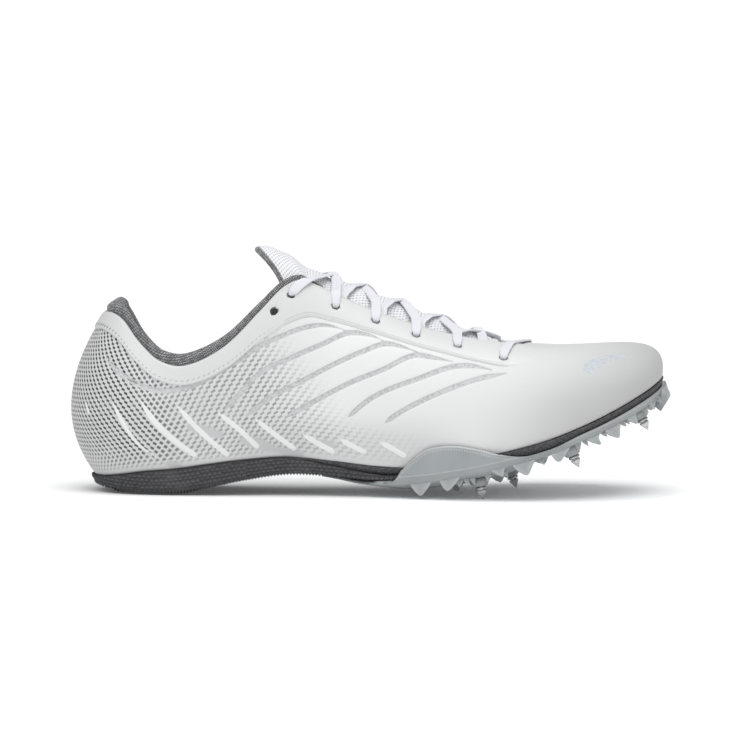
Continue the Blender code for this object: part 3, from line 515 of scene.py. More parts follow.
def footprint(lap):
    """The sole's top edge, as X, Y and Z."""
    ahead = 0.5 * LAST_LENGTH * (1 - np.cos(math.pi * np.asarray(lap))) - HEEL_TO_REST
    return stack(ahead, BALL_WIDTH * edge_side(lap), TOE_LIFT * edge_top(lap))


def outward(lap):
    """Level direction straight out from the footprint."""
    along = footprint(np.add(lap, LAP_STEP)) - footprint(np.subtract(lap, LAP_STEP))
    along = along / np.linalg.norm(along[..., :2], axis=-1, keepdims=True)
    return stack(along[..., 1], -along[..., 0], 0.0)


def topline(lap):
    return stack(
        LAST_LENGTH * top_ahead(lap) - HEEL_TO_REST,
        THROAT_SPREAD * top_side(lap),
        INSTEP_HEIGHT * top_height(lap),
    )


def skin(lap, v):
    """Outer face of the upper, a cubic Bezier rib: v runs from 0 at the sole to 1 at the topline."""
    lap, v = np.broadcast_arrays(lap, v)
    start = footprint(lap) + np.array([0.0, 0.0, CLEARANCE])
    end = topline(lap)
    low = start + outward(lap) * (lower_out(lap) * MM)[..., None]
    low = low + stack(0.0, 0.0, lower_up(lap) * MM)
    high = end + stack(upper_ahead(lap), upper_side(lap), -upper_down(lap)) * MM
    v = v[..., None]
    return start * (1 - v) ** 3 + 3 * low * v * (1 - v) ** 2 + 3 * high * v * v * (1 - v) + end * v**3


def skin_frame(lap, v):
    """Unit normal out of the upper, and unit direction up towards the topline."""
    around = skin(np.add(lap, LAP_STEP), v) - skin(np.subtract(lap, LAP_STEP), v)
    above = skin(lap, np.minimum(np.add(v, RIB_STEP), 1.0))
    below = skin(lap, np.maximum(np.subtract(v, RIB_STEP), 0.0))
    return unit(np.cross(around, above - below)), unit(above - below)


def rib_lengths(laps):
    """Length along each rib at even steps of v."""
    return runs_along(skin(laps[:, None], np.linspace(0.0, 1.0, RIB_PARTS + 1)))


def at_distance(lap, distance, from_top=True):
    """v at a distance along the upper from the topline, or from the sole."""
    lap, distance = np.broadcast_arrays(lap, distance)
    laps, which = np.unique(lap.ravel(), return_inverse=True)
    length = rib_lengths(laps)[which.ravel()]
    wanted = length[:, -1] - distance.ravel() if from_top else distance.ravel()
    index = np.clip((length < wanted[:, None]).sum(axis=1) - 1, 0, RIB_PARTS - 1)
    every = np.arange(len(index))
    low, high = length[every, index], length[every, index + 1]
    share = np.clip((wanted - low) / (high - low), 0.0, 1.0)
    return ((index + share) / RIB_PARTS).reshape(lap.shape)


def below_topline(lap, depth, inward):
    """A place inside the upper, by distance down from the topline and in from its outer face."""
    lap, depth, inward = np.broadcast_arrays(lap, depth, inward)
    v = at_distance(lap, np.maximum(depth, 0.0))
    normal, up = skin_frame(lap, v)
    return skin(lap, v) - normal * inward[..., None] + up * np.maximum(-depth, 0.0)[..., None]


def sole_slope(share):
    """How far the sole's side stands out from the footprint, by the share of its height."""
    return -SOLE_UNDERCUT + (SOLE_PROUD + SOLE_UNDERCUT) * share + SOLE_BULGE * share * (1 - share)


def side(lap, height, out):
    """A place `out` off the sole's side, at a height above its lower edge, and higher up off the upper."""
    edge = footprint(lap)
    low = TOE_LIFT * edge_low(lap)
    tall = edge[..., 2] - low
    height = np.broadcast_to(height, tall.shape)
    flat = edge + outward(lap) * (sole_slope(np.clip(height / tall, 0.0, 1.0)) + out)[..., None]
    flat[..., 2] = low + height
    above = np.maximum(height - tall, 0.0)
    v = at_distance(lap, above, from_top=False)
    normal, _ = skin_frame(lap, v)
    standing = out + SOLE_PROUD * np.clip(1.0 - above / 0.003, 0.0, 1.0)
    return np.where((above > 0.0)[..., None], skin(lap, v) + normal * standing[..., None], flat)


def fade(low, high, value):
    """0 below low, 1 above high, and a smooth S between them."""
    t = np.clip((value - low) / (high - low), 0.0, 1.0)
    return t * t * (3 - 2 * t)


def tall_of(lap):
    """Height of the sole's side."""
    return footprint(lap)[..., 2] - TOE_LIFT * edge_low(lap)


def closed_curve(controls, count):
    """Points on a closed Catmull-Rom curve through control points held in the second axis."""
    total = controls.shape[1]
    at = np.arange(count) * total / count
    i = at.astype(int)
    t = (at - i)[None, :, None]
    a, b, c, d = (controls[:, (i + k) % total] for k in (-1, 0, 1, 2))
    return 0.5 * (
        2 * b + (c - a) * t + (2 * a - 5 * b + 4 * c - d) * t**2 + (3 * b - a - 3 * c + d) * t**3
    )


def grid_quads(rows, columns, wrap_rows=False, wrap_columns=False):
    """Corner numbers of the faces of a grid of points."""
    r = np.arange(rows if wrap_rows else rows - 1)[:, None]
    c = np.arange(columns if wrap_columns else columns - 1)[None, :]
    corners = [(r, c), (r, c + 1), (r + 1, c + 1), (r + 1, c)]
    return np.stack([(a % rows) * columns + b % columns for a, b in corners], axis=-1).reshape(-1, 4)


def make_piece(name, points, faces, material, marks=None):
    """A mesh piece. Corners that lie on one spot are made one, and faces that collapse are dropped."""
    points = np.asarray(points, float).reshape(-1, 3)
    rounded = np.round(points / 1e-7).astype(np.int64)
    _, first, where = np.unique(rounded, axis=0, return_index=True, return_inverse=True)
    where = where.ravel()
    faces = where[faces]
    points = points[first]
    gone = faces == np.roll(faces, -1, axis=1)
    missing = gone.sum(axis=1)
    sound = (missing < 2) & (faces[:, 0] != faces[:, 2]) & (faces[:, 1] != faces[:, 3])
    three = (missing == 1) & sound
    triangles = faces[three][~gone[three]].reshape(-1, 3)
    quads = faces[(missing == 0) & sound]
    halves = np.concatenate([quads[:, [0, 1, 2]], quads[:, [0, 2, 3]], triangles])
    corner = points[halves]
    if np.einsum("ij,ij->i", corner[:, 0], np.cross(corner[:, 1], corner[:, 2])).sum() < 0:
        quads, triangles = quads[:, ::-1], triangles[:, ::-1]
    mesh = bpy.data.meshes.new(name)
    mesh.vertices.add(len(points))
    mesh.vertices.foreach_set("co", points.astype(np.float32).ravel())
    indices = np.concatenate([quads.ravel(), triangles.ravel()]).astype(np.int32)
    totals = np.concatenate([np.full(len(quads), 4), np.full(len(triangles), 3)]).astype(np.int32)
    starts = np.concatenate([[0], np.cumsum(totals)[:-1]]).astype(np.int32)
    mesh.loops.add(len(indices))
    mesh.loops.foreach_set("vertex_index", indices)
    mesh.polygons.add(len(totals))
    mesh.polygons.foreach_set("loop_start", starts)
    mesh.polygons.foreach_set("loop_total", totals)
    mesh.polygons.foreach_set("use_smooth", np.ones(len(totals), bool))
    mesh.materials.append(material)
    mesh.update(calc_edges=True)
    mesh.validate()
    for mark, values in (marks or {}).items():
        wide = values.ndim > 1 and values.shape[-1] == 3
        layer = mesh.attributes.new(mark, "FLOAT_VECTOR" if wide else "FLOAT", "POINT")
        values = values.reshape(-1, 3 if wide else 1)[first]
        layer.data.foreach_set("vector" if wide else "value", values.astype(np.float32).ravel())
    made = bpy.data.objects.new(name, mesh)
    bpy.context.scene.collection.objects.link(made)
    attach(made, "root")
    return made


def loft(sections):
    """Faces of a solid whose closed sections lie in rows, with both ends shut by a fan to their middle."""
    rows, columns = sections.shape[:2]
    faces = grid_quads(rows, columns, wrap_columns=True)
    points = sections.reshape(-1, 3)
    ends = []
    for row in (0, rows - 1):
        middle = sections[row].mean(axis=0)
        hub = len(points)
        points = np.concatenate([points, middle[None]])
        ring = row * columns + np.arange(columns)
        after = row * columns + (np.arange(columns) + 1) % columns
        fan = np.stack([after, ring, np.full(columns, hub), np.full(columns, hub)], axis=-1)
        ends.append(fan if row == 0 else fan[:, [1, 0, 2, 3]])
    return points, np.concatenate([faces, *ends])


def with_hubs(values):
    """Marks of a loft's points, and of the middles of its two ends."""
    values = values.reshape(-1, 3)
    return np.concatenate([values, values[:1], values[-1:]])


def joined(bodies):
    """Points and faces of several bodies in one list."""
    points, faces, first = [], [], 0
    for more, corners in bodies:
        points.append(more)
        faces.append(corners + first)
        first += len(more)
    return np.concatenate(points), np.concatenate(faces)


def line_distance(places, line):
    """Distance from places to a bent line in a plane, and the share of its length at the nearest spot."""
    line = np.array(line, float)
    runs = runs_along(line)
    best = np.full(places.shape[:-1], np.inf)
    share = np.zeros(places.shape[:-1])
    for k in range(len(line) - 1):
        way = line[k + 1] - line[k]
        t = np.clip(((places - line[k]) @ way) / (way @ way), 0.0, 1.0)
        gap = np.linalg.norm(places - line[k] - t[..., None] * way, axis=-1)
        nearer = gap < best
        best = np.where(nearer, gap, best)
        share = np.where(nearer, (runs[k] + t * (runs[k + 1] - runs[k])) / runs[-1], share)
    return best, share


def softened(line, count=28):
    """A bent line as a smooth one, a cubic over the length between its points."""
    line = np.array(line, float)
    runs = runs_along(line)
    at = np.linspace(0.0, runs[-1], count)
    return np.stack([through(runs, line[:, k], at) for k in range(line.shape[1])], axis=-1)


def inside_lines(places, rows, half_width, count=28):
    """How far places lie inside lines with a width. Each row ends with its line."""
    best = np.full(places.shape[:-1], OUTSIDE)
    for row in rows:
        gap, share = line_distance(places, softened(row[-1], count))
        best = np.maximum(best, half_width(row, share) - gap)
    return best


class Recipe:
    """A material's nodes, written as sums."""

    def __init__(self, tree):
        self.tree = tree

    def node(self, kind, **settings):
        made = self.tree.nodes.new(kind)
        for name, value in settings.items():
            setattr(made, name, value)
        return made

    def put(self, socket, value):
        if isinstance(value, bpy.types.NodeSocket):
            self.tree.links.new(value, socket)
        else:
            socket.default_value = value

    def math(self, operation, *values):
        made = self.node("ShaderNodeMath", operation=operation)
        for socket, value in zip(made.inputs, values):
            self.put(socket, value)
        return made.outputs[0]

    def times(self, a, b):
        return self.math("MULTIPLY", a, b)

    def plus(self, a, b):
        return self.math("ADD", a, b)

    def less(self, a, b):
        return self.math("SUBTRACT", a, b)

    def scaled(self, value, factor, added):
        return self.math("MULTIPLY_ADD", value, factor, added)

    def size(self, value):
        """The value without its sign."""
        return self.math("ABSOLUTE", value)

    def part(self, value):
        """What is left of the value above the whole number below it."""
        return self.math("FRACT", value)

    def step(self, value, low, high):
        """0 at low, 1 at high."""
        made = self.node("ShaderNodeMapRange", interpolation_type="SMOOTHSTEP")
        for socket, number in zip(made.inputs, (value, low, high, 0.0, 1.0)):
            self.put(socket, number)
        return made.outputs[0]

    def mix(self, share, a, b):
        """Colour a where the share is 0, colour b where it is 1."""
        made = self.node("ShaderNodeMix", data_type="RGBA")
        self.put(made.inputs[0], share)
        for socket, colour in zip(made.inputs[6:8], (a, b)):
            self.put(socket, (*colour, 1.0) if isinstance(colour, tuple) else colour)
        return made.outputs[2]

    def grey(self, value):
        """A colour whose three parts are one value."""
        made = self.node("ShaderNodeCombineColor")
        for socket in made.inputs:
            self.put(socket, value)
        return made.outputs[0]

    def attribute(self, name):
        return self.node("ShaderNodeAttribute", attribute_name=name)

    def place(self):
        return self.node("ShaderNodeTexCoord").outputs["Object"]

    def noise(self, vector, scale, detail=2.0, roughness=0.5):
        made = self.node("ShaderNodeTexNoise")
        self.put(made.inputs["Vector"], vector)
        for label, value in (("Scale", scale), ("Detail", detail), ("Roughness", roughness)):
            self.put(made.inputs[label], value)
        return made.outputs["Fac"]

    def split(self, vector):
        made = self.node("ShaderNodeSeparateXYZ")
        self.put(made.inputs[0], vector)
        return made.outputs

    def group(self, tree, **values):
        made = self.node("ShaderNodeGroup", node_tree=tree)
        for name, value in values.items():
            self.put(made.inputs[name.capitalize()], value)
        return made.outputs

    def bump(self, height, strength, distance):
        made = self.node("ShaderNodeBump")
        for label, value in (("Height", height), ("Strength", strength), ("Distance", distance)):
            self.put(made.inputs[label], value)
        return made.outputs[0]


def effect(name, inputs, outputs):
    """An empty group of nodes with named inputs and outputs."""
    tree = bpy.data.node_groups.new(name, "ShaderNodeTree")
    for label, kind, value in inputs:
        socket = tree.interface.new_socket(label, in_out="INPUT", socket_type=kind)
        if value is not None:
            socket.default_value = value
    for label, kind in outputs:
        tree.interface.new_socket(label, in_out="OUTPUT", socket_type=kind)
    recipe = Recipe(tree)
    return tree, recipe, recipe.node("NodeGroupInput").outputs, recipe.node("NodeGroupOutput").inputs


def perforation_effect():
    """Staggered rows of diamonds: one per cell, each other row half a cell along, leaning to one side."""
    tree, r, given, out = effect(
        "perforation",
        (
            ("Cells", "NodeSocketVector", None),
            ("Width", "NodeSocketFloat", 0.3),
            ("Height", "NodeSocketFloat", 0.3),
            ("Edge", "NodeSocketFloat", 0.08),
            ("Lean", "NodeSocketFloat", 0.0),
        ),
        (("Mask", "NodeSocketFloat"),),
    )
    u, v, _ = r.split(given["Cells"])
    row = r.math("FLOOR", v)
    shifted = r.plus(u, r.times(r.math("MODULO", row, 2.0), 0.5))
    rise = r.less(r.part(v), 0.5)
    offset = r.less(r.part(shifted), 0.5)
    across = r.size(r.less(offset, r.times(rise, given["Lean"])))
    along = r.size(rise)
    reach = r.plus(r.math("DIVIDE", across, given["Width"]), r.math("DIVIDE", along, given["Height"]))
    inner = r.less(1.0, given["Edge"])
    outer = r.plus(1.0, given["Edge"])
    r.put(out["Mask"], r.less(1.0, r.step(reach, inner, outer)))
    return tree


def knit_effect():
    """Columns of small V stitches: height of the yarn in each cell, and a fleck from cell to cell."""
    tree, r, given, out = effect(
        "knit",
        (("Cells", "NodeSocketVector", None),),
        (("Height", "NodeSocketFloat"), ("Fleck", "NodeSocketFloat")),
    )
    u, v, _ = r.split(given["Cells"])
    across = r.size(r.less(r.part(u), 0.5))
    slanted = r.plus(v, r.times(across, 1.4))
    along = r.size(r.less(r.part(slanted), 0.5))
    strand = r.less(1.0, r.times(along, 2.0))
    gap = r.step(across, 0.0, 0.16)
    edge = r.step(r.less(0.5, across), 0.0, 0.12)
    height = r.times(r.times(strand, gap), edge)
    cell = r.node("ShaderNodeCombineXYZ")
    r.put(cell.inputs[0], r.math("FLOOR", u))
    r.put(cell.inputs[1], r.math("FLOOR", slanted))
    white = r.node("ShaderNodeTexWhiteNoise", noise_dimensions="2D")
    r.put(white.inputs["Vector"], cell.outputs[0])
    r.put(out["Height"], height)
    r.put(out["Fleck"], white.outputs["Value"])
    return tree


def weave_effect():
    """Plain fine weave: two crossed waves over the surface's place, and their height."""
    tree, r, given, out = effect(
        "weave",
        (("Place", "NodeSocketVector", None), ("Pitch", "NodeSocketFloat", 0.0006)),
        (("Height", "NodeSocketFloat"),),
    )
    x, y, z = r.split(given["Place"])
    turn = r.math("DIVIDE", 2 * math.pi, given["Pitch"])
    slant = r.plus(x, r.times(y, 0.6))
    one = r.math("SINE", r.times(r.plus(slant, z), turn))
    two = r.math("SINE", r.times(r.less(slant, z), turn))
    r.put(out["Height"], r.times(r.times(one, two), 0.5))
    return tree


def new_material(name, roughness, **values):
    material = bpy.data.materials.new(name)
    material.use_nodes = True
    shader = material.node_tree.nodes["Principled BSDF"]
    shader.inputs["Roughness"].default_value = roughness
    for key, value in values.items():
        shader.inputs[key.replace("_", " ")].default_value = value
    return material, Recipe(material.node_tree), shader.inputs


perforation = perforation_effect()
knit = knit_effect()
weave = weave_effect()


def upper_material():
    """White coated mesh: grey perforations and channels, a smooth panel, a darker, dashed heel, and painted
    shade low on the waist and the toe, along the channels' edges and in the dents.
    """
    material, r, into = new_material("upper_cloth", 0.5, Sheen_Weight=0.1)
    cells = r.attribute("cells").outputs["Vector"]
    masks = [r.attribute(name).outputs["Fac"] for name in ("holes", "heel", "slots", "shade", "inside")]
    holes, heel, slots, shade, inside = masks
    channel_in, slash_in, silver_in = r.split(r.attribute("shapes").outputs["Vector"])
    along, depth, edge = r.split(r.attribute("band").outputs["Vector"])
    cloth_grey_and_shade, panel_grey, seam_in = r.split(r.attribute("greys").outputs["Vector"])
    place = r.place()
    channel = r.step(channel_in, -0.15, 0.2)
    slash = r.step(slash_in, -0.2, 0.25)
    silver = r.step(silver_in, -0.3, 0.4)
    seam = r.step(seam_in, -0.15, 0.2)
    panel = r.step(edge, -0.2, 0.2)
    lean = r.scaled(heel, -1.1, 0.55)
    width = r.scaled(heel, -0.03, 0.36)
    diamond = r.group(perforation, cells=cells, width=width, height=0.50, edge=0.12, lean=lean)["Mask"]
    wander = r.noise(place, 160.0)
    clear = r.less(1.0, r.math("MAXIMUM", r.math("MAXIMUM", channel, slash), panel))
    dark = r.times(r.times(diamond, holes), clear)
    dark = r.times(dark, r.plus(0.55, wander))
    ahead, _, height = r.split(place)
    dark = r.times(dark, r.scaled(r.step(ahead, 0.110, 0.045), 0.75, 0.25))
    # Painted shade: the cloth darker low on the waist, near the sole
    waist = r.times(r.step(ahead, 0.03, 0.06), r.step(ahead, 0.15, 0.12))
    low = r.times(r.step(height, 0.044, 0.024), waist)
    ink = r.mix(heel, (0.29, 0.29, 0.295), (0.05, 0.05, 0.055))
    # Painted shade: grey in the dents, then darker low on the waist
    cloth = r.mix(r.times(shade, 0.6), r.grey(cloth_grey_and_shade), (0.47, 0.47, 0.48))
    cloth = r.mix(r.times(low, 0.45), cloth, (0.47, 0.47, 0.475))
    cloth = r.mix(slash, cloth, (0.80, 0.80, 0.80))
    base = r.mix(dark, cloth, ink)
    mesh_grain = r.noise(place, 900.0, 1.0)
    grey = r.mix(r.step(mesh_grain, 0.70, 0.42), (0.44, 0.44, 0.445), (0.59, 0.59, 0.595))
    base = r.mix(channel, base, grey)
    # Painted shade along the edges of the recessed channels
    rim = r.times(channel, r.step(channel_in, 0.55, 0.15))
    base = r.mix(r.times(rim, 0.35), base, (0.38, 0.38, 0.39))
    base = r.mix(r.times(seam, 0.75), base, (0.12, 0.12, 0.125))
    base = r.mix(panel, base, r.grey(panel_grey))
    cells = r.attribute("slot_cells").outputs["Vector"]
    slot = r.group(perforation, cells=cells, width=0.30, height=0.35, edge=0.2, lean=0.4)["Mask"]
    base = r.mix(r.times(slot, slots), base, (0.20, 0.20, 0.21))
    # Two fine embossed lines along the lower edge of the eyelet panel, and its dashed stitching
    double = r.size(r.less(r.size(r.less(edge, 0.3)), 0.95))
    line = r.times(r.step(double, 0.34, 0.12), r.step(along, 0.0, 0.5))
    base = r.mix(r.times(line, 0.55), base, (0.45, 0.45, 0.46))
    row = r.step(r.size(r.less(depth, 1.3)), 0.30, 0.12)
    dash = r.step(r.math("PINGPONG", along, 0.9), 0.25, 0.40)
    stitch = r.times(r.times(row, dash), r.step(along, 0.5, 1.0))
    base = r.mix(r.times(stitch, 0.5), base, (0.42, 0.42, 0.44))
    shimmer = r.mix(mesh_grain, (0.40, 0.44, 0.48), (0.66, 0.69, 0.72))
    base = r.mix(silver, base, shimmer)
    base = r.mix(inside, base, (0.40, 0.40, 0.41))
    r.put(into["Base Color"], base)
    weave_height = r.group(weave, place=place, pitch=0.0007)["Height"]
    plain = r.less(1.0, panel)
    weave_height = r.times(weave_height, r.times(plain, 0.35))
    height = r.less(weave_height, dark)
    height = r.less(height, r.times(r.plus(line, stitch), 0.6))
    height = r.plus(height, r.times(slash, 0.8))
    height = r.less(height, r.times(channel, 0.8))
    grain_height = r.times(r.noise(place, 420.0, 3.0), r.plus(0.15, channel))
    height = r.plus(height, grain_height)
    r.put(into["Normal"], r.bump(height, 0.5, 0.00025))
    r.put(into["Roughness"], r.plus(0.42, r.times(plain, 0.16)))
    return material


def lining_material(name):
    """Dark knit with lighter yarn on its stitches."""
    material, r, into = new_material(name, 0.85, Sheen_Weight=0.25)
    stitches = r.group(knit, cells=r.attribute("cells").outputs["Vector"])
    spread = r.scaled(stitches["Fleck"], 0.7, 0.55)
    tint = r.times(stitches["Height"], spread)
    r.put(into["Base Color"], r.mix(tint, (0.02, 0.02, 0.022), (0.66, 0.66, 0.68)))
    r.put(into["Normal"], r.bump(stitches["Height"], 0.8, 0.0005))
    return material


def tongue_material():
    """White open mesh: small dark holes in staggered rows."""
    material, r, into = new_material("tongue_mesh", 0.7, Sheen_Weight=0.15)
    cells = r.attribute("cells").outputs["Vector"]
    hole = r.group(perforation, cells=cells, width=0.34, height=0.40, edge=0.25, lean=0.5)["Mask"]
    wander = r.noise(r.place(), 300.0)
    dark = r.times(hole, r.plus(0.2, wander))
    r.put(into["Base Color"], r.mix(dark, (0.84, 0.84, 0.86), (0.40, 0.40, 0.44)))
    height = r.less(r.times(r.noise(r.place(), 900.0), 0.3), hole)
    r.put(into["Normal"], r.bump(height, 0.5, 0.0004))
    return material


def lace_material():
    """White flat braid with ribs along it and a faint lavender tint."""
    material, r, into = new_material("lace_cloth", 0.7, Sheen_Weight=0.2)
    u, v, _ = r.split(r.attribute("cells").outputs["Vector"])
    rib = r.size(r.math("SINE", r.times(v, math.pi * 5)))
    chevron = r.plus(r.times(u, 1.6), r.size(v))
    across = r.size(r.less(r.part(chevron), 0.5))
    height = r.plus(r.times(rib, 0.7), r.times(across, 0.5))
    r.put(into["Base Color"], r.mix(height, (0.66, 0.66, 0.72), (0.86, 0.86, 0.90)))
    r.put(into["Normal"], r.bump(height, 0.5, 0.00025))
    return material


def foam_material():
    """Dark moulded foam with a fine pebbled skin."""
    material, r, into = new_material("midsole_foam", 0.6)
    place = r.place()
    pebble = r.noise(place, 1100.0, 2.0)
    skin_tone = r.step(pebble, 0.3, 0.7)
    r.put(into["Base Color"], r.mix(skin_tone, (0.022, 0.022, 0.024), (0.088, 0.088, 0.092)))
    r.put(into["Normal"], r.bump(pebble, 0.35, 0.0003))
    return material


def rubber_material():
    """Dark rubber with random dust, rough all over, with painted light on the ridges of its scales and teeth
    and painted shade in their gaps.
    """
    material, r, into = new_material("heel_rubber", 0.75)
    place = r.place()
    pebble = r.noise(place, 650.0, 3.0, 0.7)
    dust = r.step(r.noise(place, 90.0, 3.0), 0.45, 0.8)
    relief = r.attribute("relief").outputs["Fac"]
    # Painted light on the scales' ridges and painted shade in their gaps
    tint = r.times(r.plus(relief, 0.15), r.plus(0.5, pebble))
    base = r.mix(tint, (0.006, 0.006, 0.007), (0.085, 0.085, 0.09))
    r.put(into["Base Color"], r.mix(r.times(dust, 0.15), base, (0.20, 0.195, 0.19)))
    r.put(into["Normal"], r.bump(pebble, 0.7, 0.0006))
    return material


def plate_material():
    """Frosted springy plastic that lets some light through, with painted light on its thin edges and a
    dotted row.
    """
    material, r, into = new_material("plate_plastic", 0.32, Transmission_Weight=0.25, IOR=1.46)
    place = r.place()
    cloud = r.noise(place, 60.0, 2.0)
    base = r.mix(cloud, (0.35, 0.378, 0.388), (0.50, 0.53, 0.54))
    # Painted light on the thin edges of the lip and the lugs
    clear = r.attribute("clear").outputs["Fac"]
    dots = r.attribute("dots").outputs["Vector"]
    _, row, _ = r.split(dots)
    dot = r.group(perforation, cells=dots, width=0.36, height=0.36, edge=0.3)["Mask"]
    single = r.step(r.size(r.less(row, 0.5)), 0.55, 0.45)
    light = r.math("MAXIMUM", clear, r.times(r.times(dot, single), 0.8))
    r.put(into["Base Color"], r.mix(r.times(light, 0.7), base, (0.74, 0.76, 0.765)))
    r.put(into["Normal"], r.bump(r.noise(place, 500.0, 2.0), 0.12, 0.0003))
    return material


def pin_material():
    """Bright turned steel, a little worn at random."""
    material, r, into = new_material("pin_steel", 0.22, Metallic=1.0)
    scuff = r.noise(r.place(), 1500.0, 2.0)
    r.put(into["Base Color"], r.mix(scuff, (0.22, 0.23, 0.235), (0.80, 0.80, 0.82)))
    r.put(into["Roughness"], r.plus(0.12, r.times(scuff, 0.3)))
    return material


def footbed_material():
    """Grey brushed cloth."""
    material, r, into = new_material("insole_cloth", 0.85, Sheen_Weight=0.2)
    fibre = r.noise(r.place(), 1200.0, 2.0)
    r.put(into["Base Color"], r.mix(fibre, (0.30, 0.30, 0.32), (0.46, 0.46, 0.48)))
    r.put(into["Normal"], r.bump(fibre, 0.4, 0.0003))
    return material


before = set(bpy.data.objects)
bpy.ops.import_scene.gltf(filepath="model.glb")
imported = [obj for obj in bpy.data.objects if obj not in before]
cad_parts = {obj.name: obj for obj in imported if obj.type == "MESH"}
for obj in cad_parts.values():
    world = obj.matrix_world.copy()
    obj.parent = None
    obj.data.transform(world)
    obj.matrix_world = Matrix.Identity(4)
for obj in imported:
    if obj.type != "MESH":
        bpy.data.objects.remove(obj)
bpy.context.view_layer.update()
shapes = bpy.context.evaluated_depsgraph_get()
grounds = [BVHTree.FromObject(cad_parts[name], shapes) for name in ("upper", "tongue", "collar_lining")]


def rim_floor(lap):
    """Height of the footbed inside the sole's rim."""
    return footprint(lap)[..., 2] - np.minimum(RIM_DEPTH, RIM_SHARE * tall_of(lap))


def standing_ring(lap, out, height):
    """Places at a distance out from the footprint, at a height above the ground."""
    place = footprint(lap) + outward(lap) * np.asarray(out)[..., None]
    place[..., 2] = height
    return place


def eyelet_spot(number, side_name):
    """Lap of an eyelet, and its distance below the topline."""
    lateral, medial, lateral_depth, medial_depth = EYELETS[number]
    if side_name == "lateral":
        return lateral, lateral_depth * EYELET_INSET
    return 2.0 - medial, medial_depth * EYELET_INSET


def eyelet_spots():
    return [eyelet_spot(number, name) for number in range(len(EYELETS)) for name in ("lateral", "medial")]


def drawn_shapes(flat):
    """How far inside the channels, the slashes and the seams a place is, and the shade of the dents."""

    def channel_half(row, share):
        return 0.5 * CHANNEL_WIDTH * (1.0 - 0.75 * fade(0.84, 1.0, share)) - 2.0 * fade(0.12, 0.0, share)

    def slash_half(row, share):
        thin = row[1] * fade(0.35, 1.0, share)
        return 0.5 * row[0] * (0.15 + 0.85 * fade(0.0, 0.3, share)) * (1.0 - thin)

    def seam_half(row, share):
        return 0.5 * row[0] * np.sqrt(np.sin(math.pi * np.clip(share, 0.01, 0.99)))

    shade = np.zeros(flat.shape[:-1])
    for width, line in DENTS:
        gap, share = line_distance(flat, softened(line))
        gap = gap * (0.7 + 0.6 * np.abs(share - 0.5))
        shade = np.maximum(shade, fade(0.5 * width + 0.5, 0.5 * width - 0.5, gap))
    channel_in = inside_lines(flat, [(line,) for line in CHANNELS], channel_half, 60)
    return channel_in, inside_lines(flat, SLASHES, slash_half), inside_lines(flat, SEAMS, seam_half), shade


